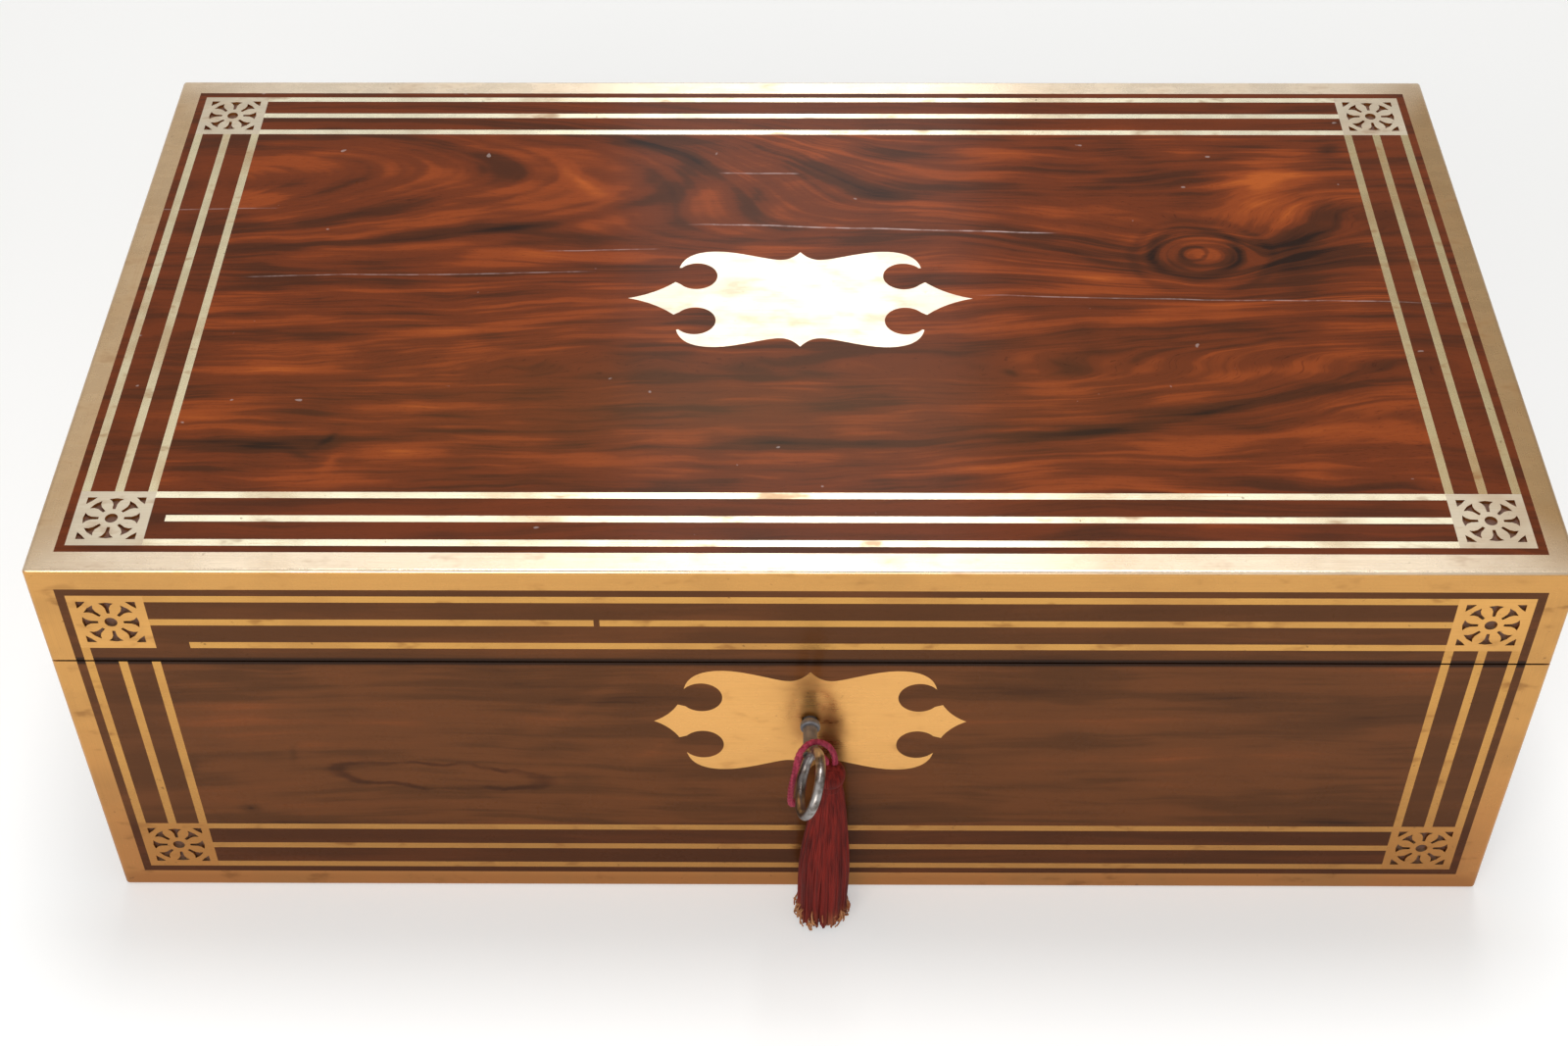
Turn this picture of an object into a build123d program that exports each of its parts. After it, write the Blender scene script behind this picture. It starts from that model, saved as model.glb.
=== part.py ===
from build123d import *
import math
import os

os.makedirs("parts", exist_ok=True)

# A closed writing slope: a rosewood veneered, brass edged box whose lid opens 180 degrees about the
# back to make one long sloping desk. Millimetres, origin at the centre of the underside, +Z up,
# +X to the right and +Y to the back. The lock and key are in the front, at -Y.

# Overall sizes of the closed box
BOX_WIDTH = 406.0
BOX_DEPTH = 224.0
BOX_HEIGHT = 136.0
LID_FRONT_HEIGHT = 35.0
JOINT_GAP = 0.6
EDGE_ROUND = 1.2

# How far a cutting tool runs past the face it cuts
OVERCUT = 1.0

# Carcass and veneer
WALL_BOARD = 10.0
BOTTOM_BOARD = 8.0
TOP_BOARD = 8.0
VENEER = 1.5

# Brass edging and inlay
EDGING_WIDTH = 7.0
INLAY_INSET = 9.4
STRING_WIDTH = 2.4
STRING_PITCH = 9.0
STRINGS = 3
SQUARE_BRASS = 0.9
SQUARE_HUB_HOLE = 1.7

# The slots between a rosette's round petals: inner end, waist, shoulder, flared tip and outer edge
PETALS = 8
SLOT_INNER = (3.4, 0.4)
SLOT_WAIST = (5.4, 0.55)
SLOT_SHOULDER = (6.5, 1.1)
SLOT_TIP = (7.25, 2.0)
SLOT_OUTER = 7.6

# The three cornered hole in each corner of a square: its corner, its reach along both sides, its waist
CORNER_HOLE = 7.9
CORNER_HOLE_REACH = 2.6
CORNER_HOLE_WAIST = 6.5

# Brass lost from the ends of old strings, and a short nick
TOP_FRONT_LOST = 4.2
LID_FRONT_LOST = 9.2
STRING_NICK = 1.6
STRING_NICK_X = -54.0

# Both shaped plates: where their round notches open, and the directions of the ogee at its two ends
NOTCH_OPENING = 40.0
OGEE_DIRECTIONS = [(-0.2, 1.0), (-0.7, 1.0)]

# Top cartouche: half sizes of its shaped outline
CARTOUCHE_TIP = 50.7
CARTOUCHE_CUSP = (37.0, 7.5)
CARTOUCHE_NECK = (42.0, 3.6)
CARTOUCHE_NOTCH = (30.7, 10.3)
CARTOUCHE_NOTCH_RADIUS = 6.1
CARTOUCHE_HORN = (36.0, 14.3)
CARTOUCHE_HUMP = (26.0, 22.0)
CARTOUCHE_WAIST = (8.5, 18.4)
CARTOUCHE_PEAK = 21.8

# Front escutcheon: half sizes of its shaped outline
ESCUTCHEON_TIP = 43.4
ESCUTCHEON_CUSP = (36.6, 7.0)
ESCUTCHEON_NECK = (39.0, 3.4)
ESCUTCHEON_NOTCH = (30.0, 10.0)
ESCUTCHEON_NOTCH_RADIUS = 5.8
ESCUTCHEON_HORN = (34.7, 13.5)
ESCUTCHEON_HUMP = (25.0, 21.0)
ESCUTCHEON_WAIST = (9.0, 17.4)
ESCUTCHEON_PEAK = 20.6

# Lock, set in the front board behind the escutcheon
KEY_X = 3.0
KEY_BELOW_JOINT = 24.5
LOCK_WIDTH = 70.0
LOCK_DEPTH = 8.0
LOCK_BELOW_KEY = 13.0
LOCK_PILOT_SKIN = 3.0
LOCK_WALL = 1.2
SELVEDGE_EAR = 6.0
SELVEDGE_THICKNESS = 2.0
KEYHOLE_RADIUS = 2.4
KEYHOLE_SLOT = 2.6
KEYHOLE_DROP = 8.6
DRILL_PIN_RADIUS = 1.2
HOOK_FROM_SIDE = 17.0
HOOK_SHANK = 3.0
HOOK_THICKNESS = 2.4
HOOK_DROP = 10.4
HOOK_TOE = 4.5
HOOK_TOE_HEIGHT = 2.2
HOOK_CLEARANCE = 0.6
BOLT_THICKNESS = 5.0
BOLT_HEIGHT = 6.0
BOLT_THROW = 5.0
BOLT_SETBACK = 1.0
BOLT_CLEARANCE = 0.5
BOLT_FINGER_HEIGHT = 2.4
BOLT_POST = 3.0
BOLT_TAIL = 12.0
TALON_WIDTH = 20.0
TALON_DEPTH = 2.8
TALON_CLEARANCE = 0.6

# Key
KEY_SHANK_RADIUS = 2.0
KEY_BIT_RADIUS = 8.0
KEY_BIT_THICKNESS = 1.8
KEY_BIT_LENGTH = 4.6
KEY_TIP_GAP = 0.4
KEY_COLLAR_RADIUS = 2.8
KEY_COLLAR_LENGTH = 2.0
KEY_COLLAR_ROUND = 0.6
KEY_COLLAR_OUT = 1.8
KEY_REACH = 33.0
BOW_LENGTH = 22.0
BOW_WIDTH = 17.5
BOW_WIRE = 1.35
BOW_TWIST = 22.0

# Tassel on its cord loop
CORD_RADIUS = 0.9
CORD_OUT = 9.4
CORD_END_GAP = 0.3
TASSEL_X = 8.6
TASSEL_DROP = 11.5
TASSEL_HEAD_RADIUS = 4.4
TASSEL_NECK_RISE = 1.4
TASSEL_TOP_RADIUS = 4.6
TASSEL_BOTTOM_RADIUS = 7.4
TASSEL_BOTTOM_X = 6.6
TASSEL_BOTTOM_OUT = 10.4
TASSEL_BOTTOM_Z = 0.8
TASSEL_FLUTES = 9
TASSEL_FLUTE_DEPTH = 0.12
TASSEL_FLATNESS = 0.85

# The skirt's swell over its straight taper, at shares of its length
TASSEL_SWELL = [(0.0, 0.78), (0.14, 1.0), (0.55, 1.18), (1.0, 1.0)]

# Butt hinges in the back
HINGE_SPACING = 260.0
HINGE_LENGTH = 45.0
LEAF_THICKNESS = 1.8
LEAF_DEPTH = 9.4
KNUCKLE_RADIUS = 2.6
KNUCKLES = 5
KNUCKLE_GAP = 0.3
HINGE_PIN_RADIUS = 1.2
RUNNING_CLEARANCE = 0.05
SCREW_RADIUS = 1.2
SCREW_HEAD_RADIUS = 2.3
SCREW_HEAD_HEIGHT = 1.2
SCREW_LENGTH = 8.0

# Flush carrying handles in the sides
HANDLE_Z = 43.0
HANDLE_FLANGE = 10.0
HANDLE_BORDER = 5.5
HANDLE_PLATE = 2.0
HANDLE_CORNER = 5.0
CUP_END_ROOM = 7.0
CUP_FINGER_ROOM = 5.5
CUP_DEPTH = 7.6
CUP_WALL = 1.2
CUP_CORNER = 3.0
BAIL_RADIUS = 2.1
BAIL_CORNER = 6.3
BAIL_SPAN = 62.0
BAIL_DROP = 20.0
BAIL_INSET = 0.2
BAIL_EYE_RADIUS = 2.9
BAIL_EYE_LENGTH = 5.0
BAIL_EYE_END = 0.5
BAIL_PIN_RADIUS = 1.4
BAIL_PIN_END_GAP = 0.5

# Writing flaps
FLAP_BOARD = 5.0
FLAP_LEATHER = 1.0
FLAP_RECESS = 1.0
FLAP_SIDE_GAP = 0.5
FLAP_END_GAP = 0.6
FLAP_PIVOT_FROM_WALL = 5.2
FLAP_PIN_RADIUS = 1.5
FLAP_PIN_REACH = 4.5
FLAP_PIN_END_GAP = 1.0
FLAP_NOTCH_RADIUS = 9.0
REST_STRIP = 5.0

# Till at the lock side of the base
TILL_DEPTH = 42.0
TILL_BOARD = 4.0
TILL_HEIGHT = 43.0
TILL_BELOW_RIM = 5.0
INK_BAY = 45.0
PEN_TRAY_HEIGHT = 20.0
PEN_TRAY_GAP = 0.4
PEN_GROOVE_RADIUS = 15.0
PEN_GROOVE_DEPTH = 12.0
INKWELL_SIDE = 38.0
INKWELL_HEIGHT = 20.0
INKWELL_BORE = 11.0
INKWELL_FLOOR = 4.0
INKWELL_CHAMFER = 3.0
INK_COLLAR_RADIUS = 13.0
INK_COLLAR_HEIGHT = 2.0
INK_CAP_RADIUS = 12.6
INK_CAP_HEIGHT = 5.0
INK_CAP_ROUND = 1.6

# Derived places
HALF_WIDTH = BOX_WIDTH / 2
HALF_DEPTH = BOX_DEPTH / 2
FRONT_JOINT_HEIGHT = BOX_HEIGHT - LID_FRONT_HEIGHT
BACK_JOINT_HEIGHT = BOX_HEIGHT / 2
KEY_Z = FRONT_JOINT_HEIGHT - KEY_BELOW_JOINT
HINGE_Y = HALF_DEPTH + JOINT_GAP / 2
SLOPE = (FRONT_JOINT_HEIGHT - BACK_JOINT_HEIGHT) / (HINGE_Y + HALF_DEPTH)
SLOPE_DEGREES = math.degrees(math.atan(SLOPE))
CORE_X = HALF_WIDTH - VENEER
CORE_Y = HALF_DEPTH - VENEER
INNER_X = CORE_X - WALL_BOARD
INNER_Y = CORE_Y - WALL_BOARD
LID_CORE_TOP = BOX_HEIGHT - VENEER
LID_CEILING = LID_CORE_TOP - TOP_BOARD
SQUARE_SIDE = (STRINGS - 1) * STRING_PITCH + STRING_WIDTH
SQUARE_CENTRE = INLAY_INSET + SQUARE_SIDE / 2
INLAY_INNER = INLAY_INSET + SQUARE_SIDE
FRONT = -HALF_DEPTH
FAR = 2 * BOX_WIDTH


def rim(y):
    """Height of the joint plane between base and lid."""
    return BACK_JOINT_HEIGHT + (HINGE_Y - y) * SLOPE


def slab(x0, x1, y0, y1, z0, z1):
    """A box between two corners."""
    centre = Pos((x0 + x1) / 2, (y0 + y1) / 2, (z0 + z1) / 2)
    return centre * Box(abs(x1 - x0), abs(y1 - y0), abs(z1 - z0))


def front_plate(face, y0, y1):
    """A flat face drawn as (x, z), extruded from y0 back to y1."""
    return extrude(Plane.XZ.offset(-y1) * face, amount=y1 - y0)


def top_plate(face, z0, z1):
    """A flat face drawn as (x, y), extruded from z0 up to z1."""
    return extrude(Plane.XY.offset(z0) * face, amount=z1 - z0)


def on_slope(part):
    """Place a part drawn about the hinge axis: -Y runs up the rim to the front, +Z is the rim's normal."""
    return Pos(0, HINGE_Y, BACK_JOINT_HEIGHT) * Rot(-SLOPE_DEGREES, 0, 0) * part


def zone(sign):
    """Everything on one side of the joint: -1 for the base, +1 for the lid."""
    return on_slope(slab(-FAR, FAR, -FAR, FAR, sign * JOINT_GAP / 2, sign * FAR))


def slope_distance(y):
    """Distance from the hinge axis to depth y, measured along the rim."""
    return (HINGE_Y - y) / math.cos(math.radians(SLOPE_DEGREES))


def mirrored(shape_list):
    """The parts, and their mirror images in the box's middle plane."""
    return shape_list + [mirror(part, about=Plane.YZ) for part in shape_list]


def save(name, *solids):
    """Write one node as a STEP file."""
    found = [solid for part in solids for solid in part.solids()]
    group = found[0] if len(found) == 1 else Compound(children=found)
    group.label = name
    export_step(group, f"parts/{name}.step")


BASE_ZONE = zone(-1)
LID_ZONE = zone(1)


# Outlines drawn flat

def square_outline(side):
    return Rectangle(side, side)


def petal_slot():
    """The slot between two petals, pointing along +X, its outer end flared."""
    upper = [SLOT_INNER, SLOT_WAIST, SLOT_SHOULDER, SLOT_TIP]
    lower = [(x, -y) for x, y in reversed(upper)]
    return make_face(Polyline(*upper, (SLOT_OUTER, 0), *lower, close=True))


def corner_hole():
    """The hole in the square's +X +Y corner, its long side hollow."""
    short = CORNER_HOLE - CORNER_HOLE_REACH
    points = [
        (CORNER_HOLE, CORNER_HOLE),
        (short, CORNER_HOLE),
        (CORNER_HOLE_WAIST, CORNER_HOLE_WAIST),
        (CORNER_HOLE, short),
    ]
    return make_face(Polyline(*points, close=True))


def pierced_square():
    """A corner square with its rosette of eight round petals and a hole in each corner."""
    face = square_outline(SQUARE_SIDE) - Circle(SQUARE_HUB_HOLE)
    for index in range(PETALS):
        face -= Rot(0, 0, index * 360 / PETALS) * petal_slot()
    for index in range(4):
        face -= Rot(0, 0, index * 90) * corner_hole()
    return face


def shaped_outline(tip, cusp, neck, notch, notch_radius, horn, hump, waist, peak):
    """A plate with pointed ends, round notches, horns, humps and a small ogee peak."""
    across = notch_radius * math.cos(math.radians(NOTCH_OPENING))
    up = notch_radius * math.sin(math.radians(NOTCH_OPENING))
    notch_in = (notch[0] + across, notch[1] - up)
    notch_out = (notch[0] + across, notch[1] + up)
    notch_back = (notch[0] - notch_radius, notch[1])
    quarter = [
        ThreePointArc((tip, 0), neck, cusp),
        Line(cusp, notch_in),
        ThreePointArc(notch_in, notch_back, notch_out),
        Line(notch_out, horn),
        Spline(horn, hump, waist, (0, peak), tangents=OGEE_DIRECTIONS),
    ]
    edges = list(quarter)
    for edge in quarter:
        edges.append(mirror(edge, about=Plane.YZ))
        edges.append(mirror(edge, about=Plane.XZ))
        edges.append(mirror(mirror(edge, about=Plane.YZ), about=Plane.XZ))
    return make_face(edges)


def keyhole():
    """Round eye with the slot for the bit, drawn about the key's axis."""
    slot = Pos(0, -KEYHOLE_DROP / 2) * Rectangle(KEYHOLE_SLOT, KEYHOLE_DROP)
    return Circle(KEYHOLE_RADIUS) + slot


def string_levels():
    """Distance of each string's middle from the box's edge."""
    return [INLAY_INSET + STRING_WIDTH / 2 + index * STRING_PITCH for index in range(STRINGS)]


def top_string_faces():
    """Strings of the top, drawn as (x, y)."""
    faces = []
    for index, level in enumerate(string_levels()):
        half_x = HALF_WIDTH - INLAY_INNER
        half_y = HALF_DEPTH - INLAY_INNER
        lost = TOP_FRONT_LOST if index == 1 else 0.0
        faces.append(Pos(lost / 2, level - HALF_DEPTH) * Rectangle(2 * half_x - lost, STRING_WIDTH))
        faces.append(Pos(0, HALF_DEPTH - level) * Rectangle(2 * half_x, STRING_WIDTH))
        faces.append(Pos(level - HALF_WIDTH, 0) * Rectangle(STRING_WIDTH, 2 * half_y))
        faces.append(Pos(HALF_WIDTH - level, 0) * Rectangle(STRING_WIDTH, 2 * half_y))
    return faces


def lid_front_string_faces():
    """Strings of the lid front, drawn as (x, z), with the stubs below its squares."""
    faces = []
    levels = string_levels()
    left = INLAY_INNER - HALF_WIDTH
    right = HALF_WIDTH - INLAY_INNER
    nick_left = STRING_NICK_X - STRING_NICK / 2
    nick_right = STRING_NICK_X + STRING_NICK / 2
    spans = [[(left, right)], [(left, nick_left), (nick_right, right)], [(left + LID_FRONT_LOST, right)]]
    for level, span in zip(levels, spans):
        for start, stop in span:
            centre = Pos((start + stop) / 2, BOX_HEIGHT - level)
            faces.append(centre * Rectangle(stop - start, STRING_WIDTH))
    stub_top = BOX_HEIGHT - INLAY_INNER
    stub_foot = FRONT_JOINT_HEIGHT - EDGING_WIDTH
    stub_xs = [levels[0] - HALF_WIDTH] + [HALF_WIDTH - level for level in levels]
    for x in stub_xs:
        faces.append(Pos(x, (stub_top + stub_foot) / 2) * Rectangle(STRING_WIDTH, stub_top - stub_foot))
    return faces


def base_front_string_faces():
    """Strings of the base front, drawn as (x, z)."""
    faces = []
    upper = FRONT_JOINT_HEIGHT + EDGING_WIDTH
    for level in string_levels():
        faces.append(Pos(0, level) * Rectangle(BOX_WIDTH - 2 * INLAY_INNER, STRING_WIDTH))
        for x in (level - HALF_WIDTH, HALF_WIDTH - level):
            centre = Pos(x, (upper + INLAY_INNER) / 2)
            faces.append(centre * Rectangle(STRING_WIDTH, upper - INLAY_INNER))
    return faces


def top_square_places():
    x = HALF_WIDTH - SQUARE_CENTRE
    y = HALF_DEPTH - SQUARE_CENTRE
    return [Pos(sx * x, sy * y) for sx in (-1, 1) for sy in (-1, 1)]


def front_square_places(z):
    x = HALF_WIDTH - SQUARE_CENTRE
    return [Pos(-x, z), Pos(x, z)]


LID_SQUARE_Z = BOX_HEIGHT - SQUARE_CENTRE
BASE_SQUARE_Z = SQUARE_CENTRE
KEY_PLACE = Pos(KEY_X, KEY_Z)
CARTOUCHE_FACE = shaped_outline(
    CARTOUCHE_TIP, CARTOUCHE_CUSP, CARTOUCHE_NECK, CARTOUCHE_NOTCH, CARTOUCHE_NOTCH_RADIUS,
    CARTOUCHE_HORN, CARTOUCHE_HUMP, CARTOUCHE_WAIST, CARTOUCHE_PEAK,
)
ESCUTCHEON_FACE = KEY_PLACE * shaped_outline(
    ESCUTCHEON_TIP, ESCUTCHEON_CUSP, ESCUTCHEON_NECK, ESCUTCHEON_NOTCH, ESCUTCHEON_NOTCH_RADIUS,
    ESCUTCHEON_HORN, ESCUTCHEON_HUMP, ESCUTCHEON_WAIST, ESCUTCHEON_PEAK,
)


# Screws

def screw(length=SCREW_LENGTH):
    """A countersunk wood screw, head up at the origin, pointing down."""
    head = Pos(0, 0, -SCREW_HEAD_HEIGHT / 2) * Cone(SCREW_RADIUS, SCREW_HEAD_RADIUS, SCREW_HEAD_HEIGHT)
    shank_length = length - SCREW_HEAD_HEIGHT
    shank = Pos(0, 0, -SCREW_HEAD_HEIGHT - shank_length / 2) * Cylinder(SCREW_RADIUS, shank_length)
    return head + shank


# Hinges

def hinge_places():
    return [-HINGE_SPACING / 2, HINGE_SPACING / 2]


def hinge_screw_places(sign):
    """Where a leaf's two screws go, in the slope's own frame; sign is -1 for the base, +1 for the lid."""
    across = -(KNUCKLE_RADIUS + LEAF_DEPTH) / 2
    turn = 0 if sign < 0 else 180
    offsets = (-HINGE_LENGTH / 3, HINGE_LENGTH / 3)
    return [
        Pos(x + dx, across, sign * JOINT_GAP / 2) * Rot(turn, 0, 0)
        for x in hinge_places()
        for dx in offsets
    ]


def hinge_screws(sign):
    return [on_slope(place * screw()) for place in hinge_screw_places(sign)]


def knuckle_spans():
    """Start and length of each knuckle along X."""
    pitch = HINGE_LENGTH / KNUCKLES
    start = -HINGE_LENGTH / 2
    return [(start + index * pitch, pitch - KNUCKLE_GAP) for index in range(KNUCKLES)]


def along_x(radius, x0, length):
    """A cylinder on the X axis."""
    return Pos(x0 + length / 2, 0, 0) * Rot(0, 90, 0) * Cylinder(radius, length)


def hinge_leaf(x, sign):
    """One leaf with its knuckles; even knuckles belong to the base leaf."""
    inner = sign * JOINT_GAP / 2
    outer = inner + sign * LEAF_THICKNESS
    half = HINGE_LENGTH / 2
    leaf = slab(-half, half - KNUCKLE_GAP, -LEAF_DEPTH, 0, inner, outer)
    own = 0 if sign < 0 else 1
    for index, (start, length) in enumerate(knuckle_spans()):
        if index % 2 == own:
            leaf += along_x(KNUCKLE_RADIUS, start, length)
        else:
            room = length + 2 * KNUCKLE_GAP
            leaf -= along_x(KNUCKLE_RADIUS + KNUCKLE_GAP, start - KNUCKLE_GAP, room)
    leaf -= along_x(HINGE_PIN_RADIUS + RUNNING_CLEARANCE, -HINGE_LENGTH, 2 * HINGE_LENGTH)
    leaf = on_slope(Pos(x, 0, 0) * leaf)
    for tool in hinge_screws(sign):
        leaf -= tool
    return leaf


def hinge_pin(x):
    half = HINGE_LENGTH / 2
    pin = along_x(HINGE_PIN_RADIUS, -half, HINGE_LENGTH - KNUCKLE_GAP)
    return on_slope(Pos(x, 0, 0) * pin)


def hinge_pockets(sign):
    """Room for the leaves, knuckles and screws in the back boards."""
    pockets = []
    half = HINGE_LENGTH / 2
    outer = sign * (JOINT_GAP / 2 + LEAF_THICKNESS)
    for x in hinge_places():
        pocket = slab(-half, half - KNUCKLE_GAP, -LEAF_DEPTH, 0, 0, outer)
        room = HINGE_LENGTH + KNUCKLE_GAP
        pocket += along_x(KNUCKLE_RADIUS + KNUCKLE_GAP, -half - KNUCKLE_GAP, room)
        pockets.append(on_slope(Pos(x, 0, 0) * pocket))
    return pockets + hinge_screws(sign)


# Lock

LOCK_FRONT = -INNER_Y - LOCK_DEPTH
LOCK_BACK = -INNER_Y
LOCK_MIDDLE = (LOCK_FRONT + LOCK_BACK) / 2
LOCK_FOOT = KEY_Z - LOCK_BELOW_KEY
LOCK_HALF = LOCK_WIDTH / 2
SELVEDGE_HALF = LOCK_HALF + SELVEDGE_EAR
SELVEDGE_FRONT = slope_distance(LOCK_FRONT)
SELVEDGE_BACK = slope_distance(LOCK_BACK) + SELVEDGE_THICKNESS * SLOPE
HOOK_RUN = slope_distance(LOCK_MIDDLE) - HOOK_DROP / 2 * SLOPE
HOOK_LOW = JOINT_GAP / 2 - HOOK_DROP
HOOK_TOE_TOP = HOOK_LOW + HOOK_TOE_HEIGHT
BOLT_LOW = KEY_Z + KEY_BIT_RADIUS - TALON_DEPTH + TALON_CLEARANCE


def hook_places():
    reach = LOCK_HALF - HOOK_FROM_SIDE
    return [KEY_X - reach, KEY_X + reach]


def selvedge_plate(sign):
    """The plate on the rim of the front board, or its fellow on the lid."""
    inner = sign * JOINT_GAP / 2
    outer = inner + sign * SELVEDGE_THICKNESS
    left = KEY_X - SELVEDGE_HALF
    right = KEY_X + SELVEDGE_HALF
    return slab(left, right, -SELVEDGE_FRONT, -SELVEDGE_BACK, inner, outer)


def plate_screw_places(sign):
    run = (SELVEDGE_FRONT + SELVEDGE_BACK) / 2
    reach = LOCK_HALF + SELVEDGE_EAR / 2
    turn = 0 if sign < 0 else 180
    return [Pos(KEY_X + dx, -run, sign * JOINT_GAP / 2) * Rot(turn, 0, 0) for dx in (-reach, reach)]


def plate_screws(sign):
    return [on_slope(place * screw()) for place in plate_screw_places(sign)]


def lock_body():
    """Outer block of the lock case, cut off at the selvedge."""
    left = KEY_X - LOCK_HALF
    right = KEY_X + LOCK_HALF
    block = slab(left, right, LOCK_FRONT, LOCK_BACK, LOCK_FOOT, BOX_HEIGHT)
    under = SELVEDGE_THICKNESS + JOINT_GAP / 2
    cutter = on_slope(slab(-HALF_WIDTH, HALF_WIDTH, -FAR, FAR, -under, FAR))
    return block - cutter


def lock_case():
    """The brass case with its drill pin, and the selvedge with slots for the two hooks."""
    half = LOCK_HALF - LOCK_WALL
    cavity = slab(
        KEY_X - half, KEY_X + half, LOCK_FRONT + LOCK_WALL, LOCK_BACK - LOCK_WALL,
        LOCK_FOOT + LOCK_WALL, BOX_HEIGHT,
    )
    case = lock_body() - cavity
    case += on_slope(selvedge_plate(-1))
    for x in hook_places():
        slot = slab(
            x - HOOK_SHANK / 2 - HOOK_TOE - HOOK_CLEARANCE, x + HOOK_SHANK / 2 + HOOK_CLEARANCE,
            -HOOK_RUN - HOOK_THICKNESS / 2 - HOOK_CLEARANCE,
            -HOOK_RUN + HOOK_THICKNESS / 2 + HOOK_CLEARANCE,
            HOOK_LOW, OVERCUT,
        )
        case -= on_slope(slot)
    case -= front_plate(KEY_PLACE * keyhole(), LOCK_FRONT - OVERCUT, LOCK_FRONT + LOCK_WALL)
    pin_length = LOCK_DEPTH - 2 * LOCK_WALL
    case += Pos(KEY_X, LOCK_MIDDLE, KEY_Z) * Rot(90, 0, 0) * Cylinder(DRILL_PIN_RADIUS, pin_length)
    for tool in plate_screws(-1):
        case -= tool
    return case


def lock_pocket():
    """Mortise in the front board for the lock, its selvedge and the keyhole."""
    pocket = lock_body() + on_slope(selvedge_plate(-1))
    high = rim(LOCK_BACK) - LOCK_PILOT_SKIN
    pocket += slab(KEY_X - LOCK_HALF, KEY_X + LOCK_HALF, LOCK_FRONT, LOCK_BACK, LOCK_FOOT, high)
    pocket += front_plate(KEY_PLACE * keyhole(), -CORE_Y - OVERCUT, LOCK_FRONT + OVERCUT)
    for tool in plate_screws(-1):
        pocket += tool
    return pocket


def link_plate():
    """The lid's plate with two hooks that drop into the lock, their toes to the left."""
    plate = selvedge_plate(1)
    y0 = -HOOK_RUN - HOOK_THICKNESS / 2
    y1 = -HOOK_RUN + HOOK_THICKNESS / 2
    for x in hook_places():
        left = x - HOOK_SHANK / 2
        plate += slab(left, x + HOOK_SHANK / 2, y0, y1, HOOK_LOW, JOINT_GAP / 2)
        plate += slab(left - HOOK_TOE, left, y0, y1, HOOK_LOW, HOOK_TOE_TOP)
    plate = on_slope(plate)
    for tool in plate_screws(1):
        plate -= tool
    return plate


def lock_bolt():
    """Sliding bolt, drawn back: a bar with a talon and two fingers that slide over the hooks' toes."""
    y0 = LOCK_MIDDLE - BOLT_THICKNESS / 2
    y1 = LOCK_MIDDLE + BOLT_THICKNESS / 2
    finger_low = rim(LOCK_FRONT) + HOOK_TOE_TOP + BOLT_CLEARANCE
    finger_high = finger_low + BOLT_FINGER_HEIGHT
    toe_lefts = [x - HOOK_SHANK / 2 - HOOK_TOE for x in hook_places()]
    post_rights = [toe_left - BOLT_THROW - BOLT_CLEARANCE for toe_left in toe_lefts]
    bolt = slab(post_rights[0] - BOLT_POST, post_rights[1] + BOLT_TAIL, y0, y1,
                BOLT_LOW, BOLT_LOW + BOLT_HEIGHT)
    for toe_left, post_right in zip(toe_lefts, post_rights):
        bolt += slab(post_right - BOLT_POST, post_right, y0, y1, BOLT_LOW, finger_high)
        bolt += slab(post_right, toe_left - BOLT_SETBACK, y0, y1, finger_low, finger_high)
    talon_x = KEY_X - BOLT_THROW / 2
    bolt -= slab(talon_x - TALON_WIDTH / 2, talon_x + TALON_WIDTH / 2, y0, y1,
                 BOLT_LOW, BOLT_LOW + TALON_DEPTH)
    return bolt


# Carcass

def base_boards():
    """The base's five boards, with room for lock, hinges and handles."""
    over = rim(FRONT) + OVERCUT
    front = slab(-CORE_X, CORE_X, -CORE_Y, -INNER_Y, BOTTOM_BOARD, over) & BASE_ZONE
    front -= lock_pocket()
    back = slab(-CORE_X, CORE_X, INNER_Y, CORE_Y, BOTTOM_BOARD, over) & BASE_ZONE
    for pocket in hinge_pockets(-1):
        back -= pocket
    right = slab(INNER_X, CORE_X, -INNER_Y, INNER_Y, BOTTOM_BOARD, over) & BASE_ZONE
    right -= handle_pocket()
    right -= flap_pin(-1)
    bottom = slab(-CORE_X, CORE_X, -CORE_Y, CORE_Y, 0, BOTTOM_BOARD) - edging_ring(0, VENEER)
    return front, back, right, bottom


def lid_boards():
    """The lid's top board and its four rails."""
    under = BACK_JOINT_HEIGHT - OVERCUT
    front = slab(-CORE_X, CORE_X, -CORE_Y, -INNER_Y, under, LID_CEILING) & LID_ZONE
    front -= on_slope(selvedge_plate(1))
    for tool in plate_screws(1):
        front -= tool
    back = slab(-CORE_X, CORE_X, INNER_Y, CORE_Y, under, LID_CEILING) & LID_ZONE
    for pocket in hinge_pockets(1):
        back -= pocket
    right = slab(INNER_X, CORE_X, -INNER_Y, INNER_Y, under, LID_CEILING) & LID_ZONE
    right -= flap_pin(1)
    top = slab(-CORE_X, CORE_X, -CORE_Y, CORE_Y, LID_CEILING, LID_CORE_TOP)
    return front, back, right, top


# Brass edging

def rounded_box():
    """The whole closed box, with its edges softened."""
    box = slab(-HALF_WIDTH, HALF_WIDTH, -HALF_DEPTH, HALF_DEPTH, 0, BOX_HEIGHT)
    return fillet(box.edges(), EDGE_ROUND)


def edging_ring(z0, z1):
    """A flat ring as wide as the edging, round the whole box."""
    outer = slab(-HALF_WIDTH, HALF_WIDTH, -HALF_DEPTH, HALF_DEPTH, z0, z1)
    in_x = HALF_WIDTH - EDGING_WIDTH
    in_y = HALF_DEPTH - EDGING_WIDTH
    return outer - slab(-in_x, in_x, -in_y, in_y, z0, z1)


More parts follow.
